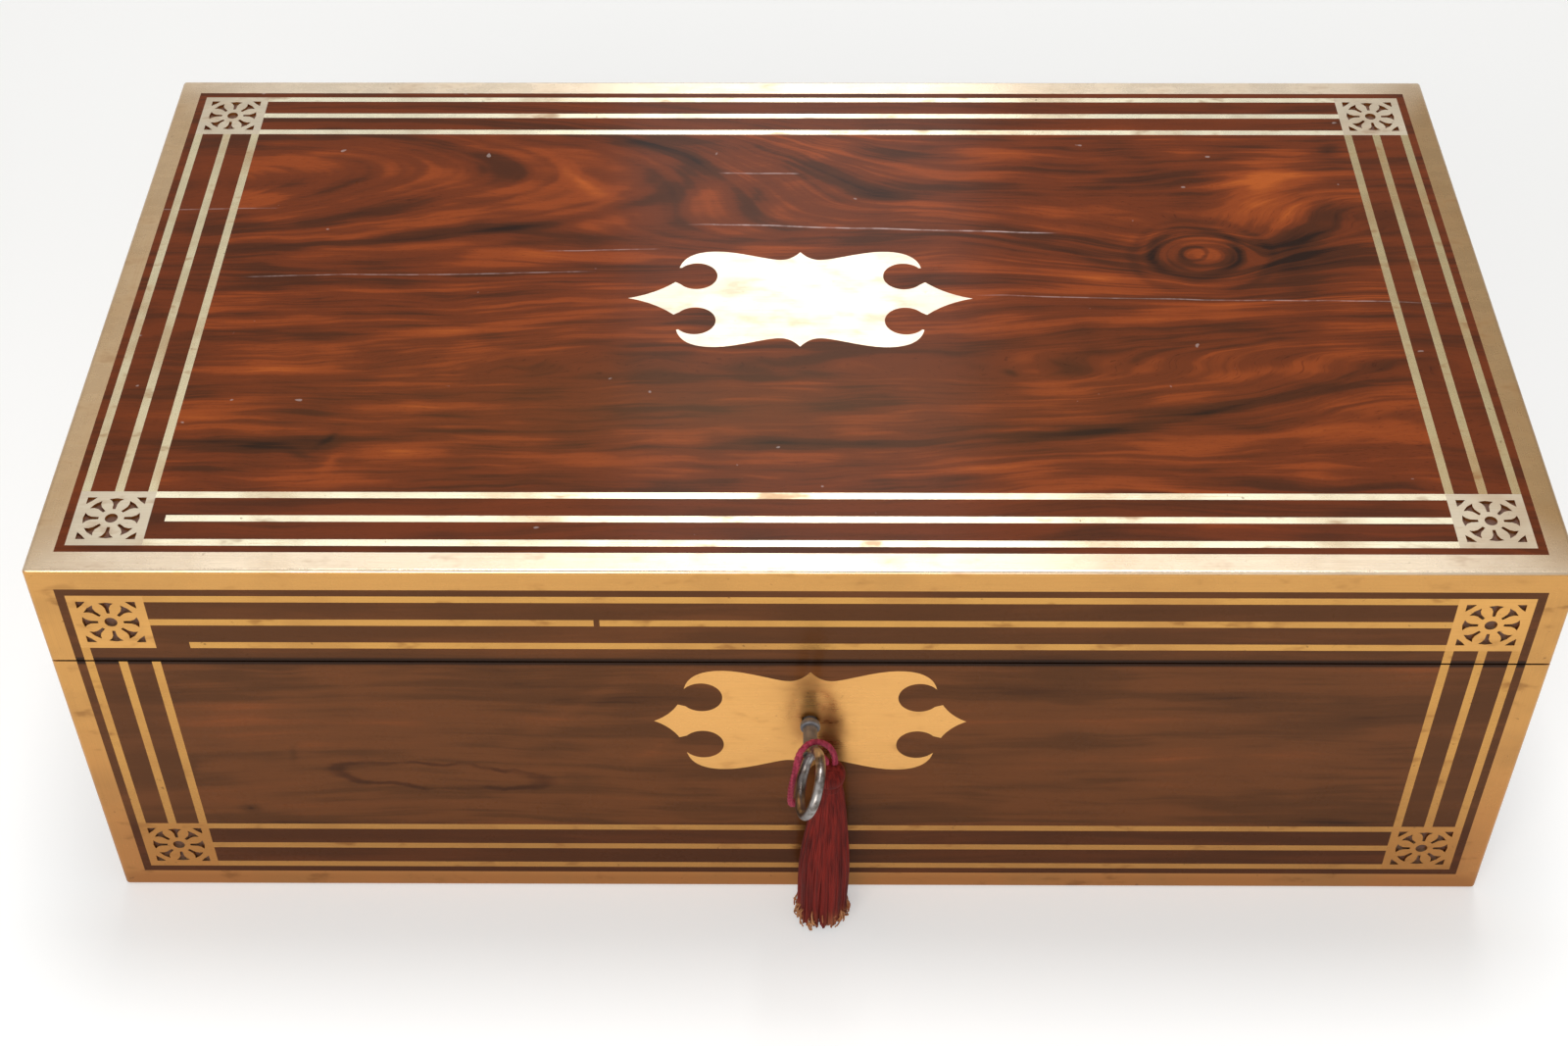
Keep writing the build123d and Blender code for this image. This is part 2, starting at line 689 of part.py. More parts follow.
def wall_ring(z0, z1):
    """A ring one veneer thick round the box's sides."""
    outer = slab(-HALF_WIDTH, HALF_WIDTH, -HALF_DEPTH, HALF_DEPTH, z0, z1)
    return outer - slab(-CORE_X, CORE_X, -CORE_Y, CORE_Y, z0, z1)


def mitre_sectors():
    """Four upright prisms that part a ring at its mitres: front, back, left, right."""
    run = HALF_DEPTH / 2
    long_side = [
        (-HALF_WIDTH, FRONT), (HALF_WIDTH, FRONT),
        (HALF_WIDTH - run, FRONT + run), (run - HALF_WIDTH, FRONT + run),
    ]
    short_side = [
        (-HALF_WIDTH, FRONT), (run - HALF_WIDTH, FRONT + run),
        (run - HALF_WIDTH, -FRONT - run), (-HALF_WIDTH, -FRONT),
    ]
    front = top_plate(make_face(Polyline(*long_side, close=True)), 0, BOX_HEIGHT)
    left = top_plate(make_face(Polyline(*short_side, close=True)), 0, BOX_HEIGHT)
    return [front, mirror(front, about=Plane.XZ), left, mirror(left, about=Plane.YZ)]


def corner_angles(z0, z1):
    """Four upright L sections at the box's corners."""
    angles = []
    for sx in (-1, 1):
        for sy in (-1, 1):
            x0 = sx * (HALF_WIDTH - EDGING_WIDTH)
            y0 = sy * (HALF_DEPTH - EDGING_WIDTH)
            block = slab(x0, sx * HALF_WIDTH, y0, sy * HALF_DEPTH, z0, z1)
            angles.append(block & wall_ring(z0, z1))
    return angles


# Veneers

def top_veneer():
    x = HALF_WIDTH - EDGING_WIDTH
    y = HALF_DEPTH - EDGING_WIDTH
    face = Rectangle(2 * x, 2 * y) - CARTOUCHE_FACE
    for string in top_string_faces():
        face -= string
    for place in top_square_places():
        face -= place * square_outline(SQUARE_SIDE)
    return top_plate(face, LID_CORE_TOP, BOX_HEIGHT)


def front_veneer_face(z0, z1, strings, squares):
    face = Pos(0, (z0 + z1) / 2) * Rectangle(BOX_WIDTH - 2 * EDGING_WIDTH, z1 - z0)
    for string in strings:
        face -= string
    for place in squares:
        face -= place * square_outline(SQUARE_SIDE)
    return face


def lid_front_veneer():
    squares = front_square_places(LID_SQUARE_Z)
    low = FRONT_JOINT_HEIGHT - EDGING_WIDTH
    high = BOX_HEIGHT - EDGING_WIDTH
    face = front_veneer_face(low, high, lid_front_string_faces(), squares)
    return front_plate(face, FRONT, -CORE_Y) & LID_ZONE


def base_front_veneer():
    squares = front_square_places(BASE_SQUARE_Z)
    high = FRONT_JOINT_HEIGHT + EDGING_WIDTH
    face = front_veneer_face(EDGING_WIDTH, high, base_front_string_faces(), squares)
    return front_plate(face - ESCUTCHEON_FACE, FRONT, -CORE_Y) & BASE_ZONE


def side_veneers():
    """Plain veneers of the right side and the back, as (base, lid) pairs."""
    low = EDGING_WIDTH
    high = BOX_HEIGHT - EDGING_WIDTH
    y = HALF_DEPTH - EDGING_WIDTH
    x = HALF_WIDTH - EDGING_WIDTH
    right = slab(CORE_X, HALF_WIDTH, -y, y, low, high)
    back = slab(-x, x, CORE_Y, HALF_DEPTH, low, high)
    base_right = (right & BASE_ZONE) - handle_pocket()
    base_back = back & BASE_ZONE
    lid_back = back & LID_ZONE
    for pocket in hinge_pockets(-1) + hinge_pockets(1):
        base_back -= pocket
        lid_back -= pocket
    return base_right, right & LID_ZONE, base_back, lid_back


def inlaid_squares(places, plate, low, high, brass_first):
    """Corner squares: thin pierced brass over a dark bed, from low to high."""
    brass = []
    beds = []
    split = low + SQUARE_BRASS if brass_first else high - SQUARE_BRASS
    for place in places:
        pierced = place * pierced_square()
        solid = place * square_outline(SQUARE_SIDE)
        if brass_first:
            brass.append(plate(pierced, low, split))
            beds.append(plate(solid, split, high))
        else:
            brass.append(plate(pierced, split, high))
            beds.append(plate(solid, low, split))
    return brass, beds


# Handles, drawn for the right side

CUP_LENGTH = BAIL_SPAN + 2 * CUP_END_ROOM
CUP_HEIGHT = BAIL_DROP + 2 * CUP_FINGER_ROOM
HANDLE_LENGTH = CUP_LENGTH + 2 * HANDLE_FLANGE
HANDLE_HEIGHT = CUP_HEIGHT + 2 * HANDLE_BORDER
CUP_FLOOR_X = HALF_WIDTH - CUP_DEPTH
BAIL_X = HALF_WIDTH - BAIL_EYE_RADIUS - BAIL_INSET
BAIL_TOP_Z = HANDLE_Z + BAIL_DROP / 2


def handle_face(length, height, radius):
    return Pos(0, HANDLE_Z) * RectangleRounded(length, height, radius)


def side_plate(face, x0, x1):
    """A flat face drawn as (y, z), extruded from x0 to x1."""
    return extrude(Plane.YZ.offset(x0) * face, amount=x1 - x0)


def handle_pocket():
    pocket = side_plate(handle_face(HANDLE_LENGTH, HANDLE_HEIGHT, HANDLE_CORNER),
                        HALF_WIDTH - HANDLE_PLATE, HALF_WIDTH + OVERCUT)
    pocket += side_plate(handle_face(CUP_LENGTH, CUP_HEIGHT, CUP_CORNER), CUP_FLOOR_X, HALF_WIDTH)
    for tool in handle_screws():
        pocket += tool
    return pocket


def handle_screws():
    y = (HANDLE_LENGTH + CUP_LENGTH) / 4
    return [
        Pos(HALF_WIDTH, sy * y, HANDLE_Z + sz * HANDLE_HEIGHT / 4) * Rot(0, 90, 0) * screw()
        for sy in (-1, 1)
        for sz in (-1, 1)
    ]


def handle_pan():
    pan = side_plate(handle_face(HANDLE_LENGTH, HANDLE_HEIGHT, HANDLE_CORNER),
                     HALF_WIDTH - HANDLE_PLATE, HALF_WIDTH)
    pan += side_plate(handle_face(CUP_LENGTH, CUP_HEIGHT, CUP_CORNER), CUP_FLOOR_X, HALF_WIDTH)
    inner = handle_face(CUP_LENGTH - 2 * CUP_WALL, CUP_HEIGHT - 2 * CUP_WALL, CUP_CORNER - CUP_WALL)
    pan -= side_plate(inner, CUP_FLOOR_X + CUP_WALL, HALF_WIDTH + OVERCUT)
    for tool in handle_screws():
        pan -= tool
    return pan


def along_y(radius, y0, y1):
    return Pos(0, (y0 + y1) / 2, 0) * Rot(90, 0, 0) * Cylinder(radius, y1 - y0)


def handle_pins():
    """Two pins from the pan's end walls into the bail's eyes."""
    place = Pos(BAIL_X, 0, BAIL_TOP_Z)
    start = (BAIL_SPAN - BAIL_EYE_LENGTH) / 2 + BAIL_EYE_END + BAIL_PIN_END_GAP
    stop = CUP_LENGTH / 2 - CUP_WALL
    return [place * along_y(BAIL_PIN_RADIUS, start, stop), place * along_y(BAIL_PIN_RADIUS, -stop, -start)]


def handle_bail():
    """A U shaped grip that hangs from two eyes."""
    half = BAIL_SPAN / 2
    foot = BAIL_TOP_Z - BAIL_DROP
    path = FilletPolyline(
        (BAIL_X, -half, BAIL_TOP_Z), (BAIL_X, -half, foot),
        (BAIL_X, half, foot), (BAIL_X, half, BAIL_TOP_Z), radius=BAIL_CORNER,
    )
    section = Plane(origin=(BAIL_X, -half, BAIL_TOP_Z), z_dir=(0, 0, -1)) * Circle(BAIL_RADIUS)
    bail = sweep(section, path=path)
    place = Pos(BAIL_X, 0, BAIL_TOP_Z)
    for sy in (-1, 1):
        y0 = sy * half - BAIL_EYE_LENGTH / 2
        bail += place * along_y(BAIL_EYE_RADIUS, y0, y0 + BAIL_EYE_LENGTH)
    bore = BAIL_PIN_RADIUS + RUNNING_CLEARANCE
    for sy in (-1, 1):
        inner = sy * (half - BAIL_EYE_LENGTH / 2 + BAIL_EYE_END)
        outer = sy * (half + BAIL_EYE_LENGTH)
        bail -= place * along_y(bore, min(inner, outer), max(inner, outer))
    return bail


# Writing flaps, drawn in the slope's own frame

FLAP_PIVOT_U = slope_distance(INNER_Y) + FLAP_PIVOT_FROM_WALL
FLAP_MID = JOINT_GAP / 2 + FLAP_RECESS + FLAP_LEATHER + FLAP_BOARD / 2
FLAP_THICKNESS = FLAP_LEATHER + FLAP_BOARD
FLAP_DEEP = JOINT_GAP / 2 + FLAP_RECESS + FLAP_THICKNESS
BASE_FLAP_END = slope_distance(TILL_DEPTH + TILL_BOARD - INNER_Y + FLAP_DEEP * SLOPE + FLAP_END_GAP)
LID_FLAP_END = slope_distance(FLAP_END_GAP - INNER_Y)
FLAP_HALF = INNER_X - FLAP_SIDE_GAP


def flap_board(sign, end):
    """Thin board with a round nose at its pivot and a finger notch at its free edge."""
    low = sign * (FLAP_MID - FLAP_BOARD / 2)
    high = sign * (FLAP_MID + FLAP_BOARD / 2)
    board = slab(-FLAP_HALF, FLAP_HALF, -end, -FLAP_PIVOT_U, low, high)
    axis = Pos(0, -FLAP_PIVOT_U, sign * FLAP_MID)
    board += axis * along_x(FLAP_BOARD / 2, -FLAP_HALF, 2 * FLAP_HALF)
    bore = FLAP_PIN_RADIUS + RUNNING_CLEARANCE
    depth = FLAP_PIN_REACH + FLAP_PIN_END_GAP
    for x0 in (-FLAP_HALF, FLAP_HALF - depth):
        board -= axis * along_x(bore, x0, depth)
    notch = Pos(0, -end, 0) * Cylinder(FLAP_NOTCH_RADIUS, 4 * FLAP_DEEP)
    return on_slope(board - notch)


def flap_leather(sign, end):
    """Leather writing surface on the board's outer face."""
    low = sign * (JOINT_GAP / 2 + FLAP_RECESS)
    high = low + sign * FLAP_LEATHER
    sheet = slab(-FLAP_HALF, FLAP_HALF, -end, -FLAP_PIVOT_U, low, high)
    notch = Pos(0, -end, 0) * Cylinder(FLAP_NOTCH_RADIUS, 4 * FLAP_DEEP)
    return on_slope(sheet - notch)


def flap_pin(sign):
    """Pivot pin of the right side, from the side board into the flap's end."""
    axis = Pos(0, -FLAP_PIVOT_U, sign * FLAP_MID)
    pin = axis * along_x(FLAP_PIN_RADIUS, FLAP_HALF - FLAP_PIN_REACH, 2 * FLAP_PIN_REACH)
    return on_slope(pin)


def side_rests(sign, end):
    """Strips that carry the flap along its two sides."""
    low = sign * FLAP_DEEP
    high = low + sign * REST_STRIP
    start = FLAP_PIVOT_U + REST_STRIP
    side = slab(INNER_X - REST_STRIP, INNER_X, -end + REST_STRIP, -start, low, high)
    return mirrored([on_slope(side)])


def end_rest(sign, wall):
    """Strip that carries the flap's free edge, fixed to the wall in front of it."""
    far = rim(wall) + sign * (FLAP_DEEP + 2 * REST_STRIP)
    strip = slab(-INNER_X, INNER_X, wall, wall + REST_STRIP, rim(wall), far)
    side = -sign * FAR
    return strip - on_slope(slab(-HALF_WIDTH, HALF_WIDTH, -FAR, FAR, sign * FLAP_DEEP, side))


# Till

TILL_FRONT = -INNER_Y
TILL_BACK = TILL_FRONT + TILL_DEPTH
TILL_REAR = TILL_BACK + TILL_BOARD
TILL_FLOOR_Z = FRONT_JOINT_HEIGHT - TILL_HEIGHT
TILL_FLOOR_TOP = TILL_FLOOR_Z + TILL_BOARD
TRAY_HALF = INNER_X - INK_BAY - TILL_BOARD


def till_divider():
    x = TRAY_HALF
    top = rim(TILL_BACK) - TILL_BELOW_RIM
    return slab(x, x + TILL_BOARD, TILL_FRONT, TILL_BACK, TILL_FLOOR_TOP, top)


def pen_tray():
    """A block with a scooped groove that runs along the box."""
    gap = PEN_TRAY_GAP
    top = TILL_FLOOR_TOP + PEN_TRAY_HEIGHT
    tray = slab(gap - TRAY_HALF, TRAY_HALF - gap, TILL_FRONT + gap, TILL_BACK - gap, TILL_FLOOR_TOP, top)
    groove_half = TRAY_HALF - TILL_BOARD
    middle = (TILL_FRONT + TILL_BACK) / 2
    groove_z = top - PEN_GROOVE_DEPTH + PEN_GROOVE_RADIUS
    groove = Pos(0, middle, groove_z) * along_x(PEN_GROOVE_RADIUS, -groove_half, 2 * groove_half)
    return tray - groove


INKWELL_PLACE = Pos(INNER_X - INK_BAY / 2, (TILL_FRONT + TILL_BACK) / 2, TILL_FLOOR_TOP)


def inkwell():
    """A square glass well with a round hollow."""
    block = Pos(0, 0, INKWELL_HEIGHT / 2) * Box(INKWELL_SIDE, INKWELL_SIDE, INKWELL_HEIGHT)
    block = chamfer(block.edges().filter_by(Axis.Z), INKWELL_CHAMFER)
    block = chamfer(block.faces().sort_by(Axis.Z)[-1].edges(), INKWELL_CHAMFER)
    hollow_height = INKWELL_HEIGHT - INKWELL_FLOOR
    hollow = Pos(0, 0, INKWELL_FLOOR + hollow_height / 2) * Cylinder(INKWELL_BORE, hollow_height)
    return INKWELL_PLACE * (block - hollow)


def ink_cap():
    """A turned brass collar and lid on the well."""
    collar = Cylinder(INK_COLLAR_RADIUS, INK_COLLAR_HEIGHT)
    lid = Cylinder(INK_CAP_RADIUS, INK_CAP_HEIGHT)
    lid = fillet(lid.edges().sort_by(Axis.Z)[-1], INK_CAP_ROUND)
    collar = Pos(0, 0, INKWELL_HEIGHT + INK_COLLAR_HEIGHT / 2) * collar
    lid = Pos(0, 0, INKWELL_HEIGHT + INK_COLLAR_HEIGHT + INK_CAP_HEIGHT / 2) * lid
    return INKWELL_PLACE * (collar + lid)


# Key and tassel

KEY_TIP_Y = LOCK_BACK - LOCK_WALL - KEY_TIP_GAP
NECK_Y = FRONT - KEY_REACH + BOW_LENGTH


def turned_y(radius, y0, y1):
    """A cylinder on the key's axis."""
    return Pos(KEY_X, 0, KEY_Z) * along_y(radius, y0, y1)


def key():
    """Pipe key: shank, bit, collar and an oval bow that stands a little off the bit's plane."""
    shank = turned_y(KEY_SHANK_RADIUS, NECK_Y - BOW_WIRE, KEY_TIP_Y)
    collar_y = FRONT - KEY_COLLAR_OUT
    half_collar = KEY_COLLAR_LENGTH / 2
    collar = turned_y(KEY_COLLAR_RADIUS, collar_y - half_collar, collar_y + half_collar)
    collar = fillet(collar.edges(), KEY_COLLAR_ROUND)
    bit_low = KEY_Z - KEY_BIT_RADIUS
    half = KEY_BIT_THICKNESS / 2
    bit = slab(KEY_X - half, KEY_X + half, KEY_TIP_Y - KEY_BIT_LENGTH, KEY_TIP_Y, bit_low, KEY_Z)
    semi_long = BOW_LENGTH / 2 - BOW_WIRE
    semi_wide = BOW_WIDTH / 2 - BOW_WIRE
    centre_y = NECK_Y - BOW_LENGTH / 2
    bow_plane = Plane(origin=(0, 0, 0), x_dir=(0, 1, 0), z_dir=(1, 0, 0))
    oval = bow_plane * Ellipse(semi_long, semi_wide).edge()
    start = Plane(origin=oval @ 0, z_dir=oval % 0)
    ring = sweep(start * Circle(BOW_WIRE), path=oval)
    ring = Pos(KEY_X, centre_y, KEY_Z) * Rot(0, BOW_TWIST, 0) * ring
    body = shank + bit + collar + ring
    bore = turned_y(DRILL_PIN_RADIUS + RUNNING_CLEARANCE, LOCK_FRONT, KEY_TIP_Y)
    return body - bore


LOOP_Y = FRONT - CORD_OUT
TASSEL_HEAD_Z = KEY_Z - TASSEL_DROP
LOOP_ENDS_Z = TASSEL_HEAD_Z + TASSEL_HEAD_RADIUS + CORD_END_GAP
SKIRT_TOP_Z = TASSEL_HEAD_Z - TASSEL_HEAD_RADIUS + TASSEL_NECK_RISE

# The loop goes up from the tassel, over the key's neck, down in a slack bight and back to the tassel.
# Across and up from the tassel's ball for its ends, and from the key's axis for the rest.
LOOP_ROUTE = [
    (TASSEL_X + 1.3, LOOP_ENDS_Z),
    (TASSEL_X + 0.7, LOOP_ENDS_Z + 4.8),
    (KEY_X + 3.6, KEY_Z + 3.5),
    (KEY_X - 3.4, KEY_Z + 3.5),
    (KEY_X - 3.7, KEY_Z - 6.5),
    (KEY_X - 4.7, KEY_Z - 15.5),
    (KEY_X - 5.1, KEY_Z - 20.1),
    (KEY_X - 2.8, KEY_Z - 21.6),
    (KEY_X - 0.6, KEY_Z - 20.2),
    (KEY_X - 0.9, KEY_Z - 15.5),
    (KEY_X - 0.7, KEY_Z - 9.1),
    (TASSEL_X - 5.7, LOOP_ENDS_Z + 2.6),
    (TASSEL_X - 3.4, LOOP_ENDS_Z + 3.9),
    (TASSEL_X - 1.1, LOOP_ENDS_Z + 2.6),
    (TASSEL_X - 1.0, LOOP_ENDS_Z),
]


def route_radii(points, share=0.45):
    """The largest arc at each inner point that its two runs allow."""
    radii = []
    for before, here, after in zip(points, points[1:], points[2:]):
        first = Vector(*here) - Vector(*before)
        second = Vector(*after) - Vector(*here)
        turn = math.radians(first.get_angle(second))
        radii.append(share * min(first.length, second.length) / math.tan(turn / 2))
    return radii


def cord_loop():
    points = [(x, LOOP_Y, z) for x, z in LOOP_ROUTE]
    radii = route_radii(points)
    print("cord loop radii", [round(radius, 1) for radius in radii])
    path = FilletPolyline(*points, radius=radii)
    section = Plane(origin=path @ 0, z_dir=path % 0) * Circle(CORD_RADIUS)
    tube = sweep(section, path=path)
    expected = math.pi * CORD_RADIUS ** 2 * path.length
    print("cord loop length", round(path.length, 1), "volume share", round(tube.volume / expected, 3))
    return tube


def tassel_head():
    """A wrapped ball, cut flat where the skirt is tied to it."""
    place = Pos(TASSEL_X, LOOP_Y, TASSEL_HEAD_Z)
    ball = place * Sphere(TASSEL_HEAD_RADIUS)
    return ball - slab(-HALF_WIDTH, HALF_WIDTH, 2 * FRONT, 0, 0, SKIRT_TOP_Z)


def tassel_skirt():
    """Fluted skirt of silk, hanging close before the box."""
    sections = []
    for share, swell in TASSEL_SWELL:
        z = SKIRT_TOP_Z + (TASSEL_BOTTOM_Z - SKIRT_TOP_Z) * share
        x = TASSEL_X + (TASSEL_BOTTOM_X - TASSEL_X) * share
        y = LOOP_Y - (TASSEL_BOTTOM_OUT - CORD_OUT) * share
        radius = (TASSEL_TOP_RADIUS + (TASSEL_BOTTOM_RADIUS - TASSEL_TOP_RADIUS) * share) * swell
        points = []
        for index in range(2 * TASSEL_FLUTES):
            angle = math.pi * index / TASSEL_FLUTES
            reach = radius * (1.0 - TASSEL_FLUTE_DEPTH * (index % 2))
            points.append((x + reach * math.cos(angle), y + TASSEL_FLATNESS * reach * math.sin(angle), z))
        sections.append(make_face(Polyline(*points, close=True)))
    return loft(sections, ruled=True)


# Build and write every node

sectors = mitre_sectors()
body = rounded_box()

base_front, base_back, base_right, base_bottom = base_boards()
save("base_front_board", base_front)
save("base_back_board", base_back)
save("base_right_board", base_right)
save("base_left_board", mirror(base_right, about=Plane.YZ))
save("base_bottom_board", base_bottom)

lid_front, lid_back, lid_right, lid_top = lid_boards()
save("lid_front_rail", lid_front)
save("lid_back_rail", lid_back)
save("lid_right_rail", lid_right)
save("lid_left_rail", mirror(lid_right, about=Plane.YZ))
save("lid_top_board", lid_top)

veneer_base_right, veneer_lid_right, veneer_base_back, veneer_lid_back = side_veneers()
save("lid_top_veneer", top_veneer())
save("lid_front_veneer", lid_front_veneer())
save("lid_side_veneers", *mirrored([veneer_lid_right]), veneer_lid_back)
save("base_front_veneer", base_front_veneer())
save("base_side_veneers", *mirrored([veneer_base_right]), veneer_base_back)

top_ring = edging_ring(LID_CORE_TOP, BOX_HEIGHT) + wall_ring(BOX_HEIGHT - EDGING_WIDTH, BOX_HEIGHT)
low_ring = edging_ring(0, VENEER) + wall_ring(0, EDGING_WIDTH)
save("lid_top_edging", *[top_ring & sector & body for sector in sectors])
save("base_bottom_edging", *[low_ring & sector & body for sector in sectors])
angles = corner_angles(EDGING_WIDTH, BOX_HEIGHT - EDGING_WIDTH)
save("lid_corner_edging", *[angle & LID_ZONE & body for angle in angles])
save("base_corner_edging", *[angle & BASE_ZONE & body for angle in angles])

save("lid_top_stringing", *[top_plate(face, LID_CORE_TOP, BOX_HEIGHT) for face in top_string_faces()])
lid_strings = [front_plate(face, FRONT, -CORE_Y) & LID_ZONE for face in lid_front_string_faces()]
save("lid_front_stringing", *lid_strings)
base_strings = [front_plate(face, FRONT, -CORE_Y) & BASE_ZONE for face in base_front_string_faces()]
save("base_front_stringing", *base_strings)

square_brass, square_beds = inlaid_squares(top_square_places(), top_plate, LID_CORE_TOP, BOX_HEIGHT, False)
save("lid_top_corner_squares", *square_brass)
lid_places = front_square_places(LID_SQUARE_Z)
lid_square_brass, lid_square_beds = inlaid_squares(lid_places, front_plate, FRONT, -CORE_Y, True)
save("lid_front_corner_squares", *lid_square_brass)
base_places = front_square_places(BASE_SQUARE_Z)
base_square_brass, base_square_beds = inlaid_squares(base_places, front_plate, FRONT, -CORE_Y, True)
save("base_front_corner_squares", *base_square_brass)
save("lid_mastic_beds", *square_beds, *lid_square_beds)
save("base_mastic_beds", *base_square_beds)

save("cartouche", top_plate(CARTOUCHE_FACE, LID_CORE_TOP, BOX_HEIGHT))
save("escutcheon", front_plate(ESCUTCHEON_FACE - KEY_PLACE * keyhole(), FRONT, -CORE_Y))

save("hinge_base_leaves", *[hinge_leaf(x, -1) for x in hinge_places()])
save("hinge_lid_leaves", *[hinge_leaf(x, 1) for x in hinge_places()])
save("hinge_pins", *[hinge_pin(x) for x in hinge_places()])

save("lock_case", lock_case())
save("lock_bolt", lock_bolt())
save("link_plate", link_plate())

pan = handle_pan()
bail = handle_bail()
save("right_handle_pan", pan)
save("left_handle_pan", mirror(pan, about=Plane.YZ))
save("right_handle_bail", bail)
save("left_handle_bail", mirror(bail, about=Plane.YZ))
save("handle_pins", *mirrored(handle_pins()))

save("base_screws", *hinge_screws(-1), *plate_screws(-1), *mirrored(handle_screws()))
save("lid_screws", *hinge_screws(1), *plate_screws(1))

save("base_flap_board", flap_board(-1, BASE_FLAP_END))
save("base_flap_leather", flap_leather(-1, BASE_FLAP_END))
save("lid_flap_board", flap_board(1, LID_FLAP_END))
save("lid_flap_leather", flap_leather(1, LID_FLAP_END))
save("base_flap_pins", *mirrored([flap_pin(-1)]))
save("lid_flap_pins", *mirrored([flap_pin(1)]))
save("base_flap_rests", *side_rests(-1, BASE_FLAP_END), end_rest(-1, TILL_REAR))
save("lid_flap_rests", *side_rests(1, LID_FLAP_END), end_rest(1, -INNER_Y))

save("till_floor", slab(-INNER_X, INNER_X, TILL_FRONT, TILL_REAR, TILL_FLOOR_Z, TILL_FLOOR_TOP))
till_back = slab(-INNER_X, INNER_X, TILL_BACK, TILL_REAR, TILL_FLOOR_TOP, rim(TILL_REAR) - FLAP_RECESS)
save("till_back", till_back)
save("till_dividers", *mirrored([till_divider()]))
save("pen_tray", pen_tray())
save("inkwells", *mirrored([inkwell()]))
save("inkwell_caps", *mirrored([ink_cap()]))

save("key", key())
save("tassel_cord_loop", cord_loop())
save("tassel_head", tassel_head())
save("tassel_skirt", tassel_skirt())
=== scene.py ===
import math
import random

import bpy
from mathutils import Matrix, Vector

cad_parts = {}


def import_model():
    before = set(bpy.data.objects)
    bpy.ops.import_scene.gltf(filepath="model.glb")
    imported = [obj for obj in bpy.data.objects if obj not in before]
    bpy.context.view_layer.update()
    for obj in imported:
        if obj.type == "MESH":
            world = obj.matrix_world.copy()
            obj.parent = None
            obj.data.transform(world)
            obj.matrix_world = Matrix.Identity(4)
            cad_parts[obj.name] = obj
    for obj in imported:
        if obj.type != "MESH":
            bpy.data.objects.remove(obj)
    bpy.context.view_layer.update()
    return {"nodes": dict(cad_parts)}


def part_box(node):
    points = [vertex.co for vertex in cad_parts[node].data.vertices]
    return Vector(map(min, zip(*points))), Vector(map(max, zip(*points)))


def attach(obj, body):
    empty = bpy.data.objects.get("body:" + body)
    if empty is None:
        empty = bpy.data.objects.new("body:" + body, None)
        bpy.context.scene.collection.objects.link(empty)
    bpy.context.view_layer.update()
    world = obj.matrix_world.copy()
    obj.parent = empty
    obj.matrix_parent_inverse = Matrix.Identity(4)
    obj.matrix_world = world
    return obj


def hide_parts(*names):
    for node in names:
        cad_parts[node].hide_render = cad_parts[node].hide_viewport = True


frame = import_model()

# Looks of a rosewood writing slope with brass edging and inlay. Metres, in the frame of the solids.
MM = 0.001
JOINT_Z = 101.0
NODES = frame["nodes"]


# Small helpers

def colour(red, green, blue):
    """Linear colour from the 0 to 255 values seen on a screen."""
    def linear(value):
        share = value / 255
        return share / 12.92 if share <= 0.04045 else ((share + 0.055) / 1.055) ** 2.4
    return (linear(red), linear(green), linear(blue), 1.0)


def added(name, data):
    """A new object in the scene."""
    obj = bpy.data.objects.new(name, data)
    bpy.context.collection.objects.link(obj)
    return obj


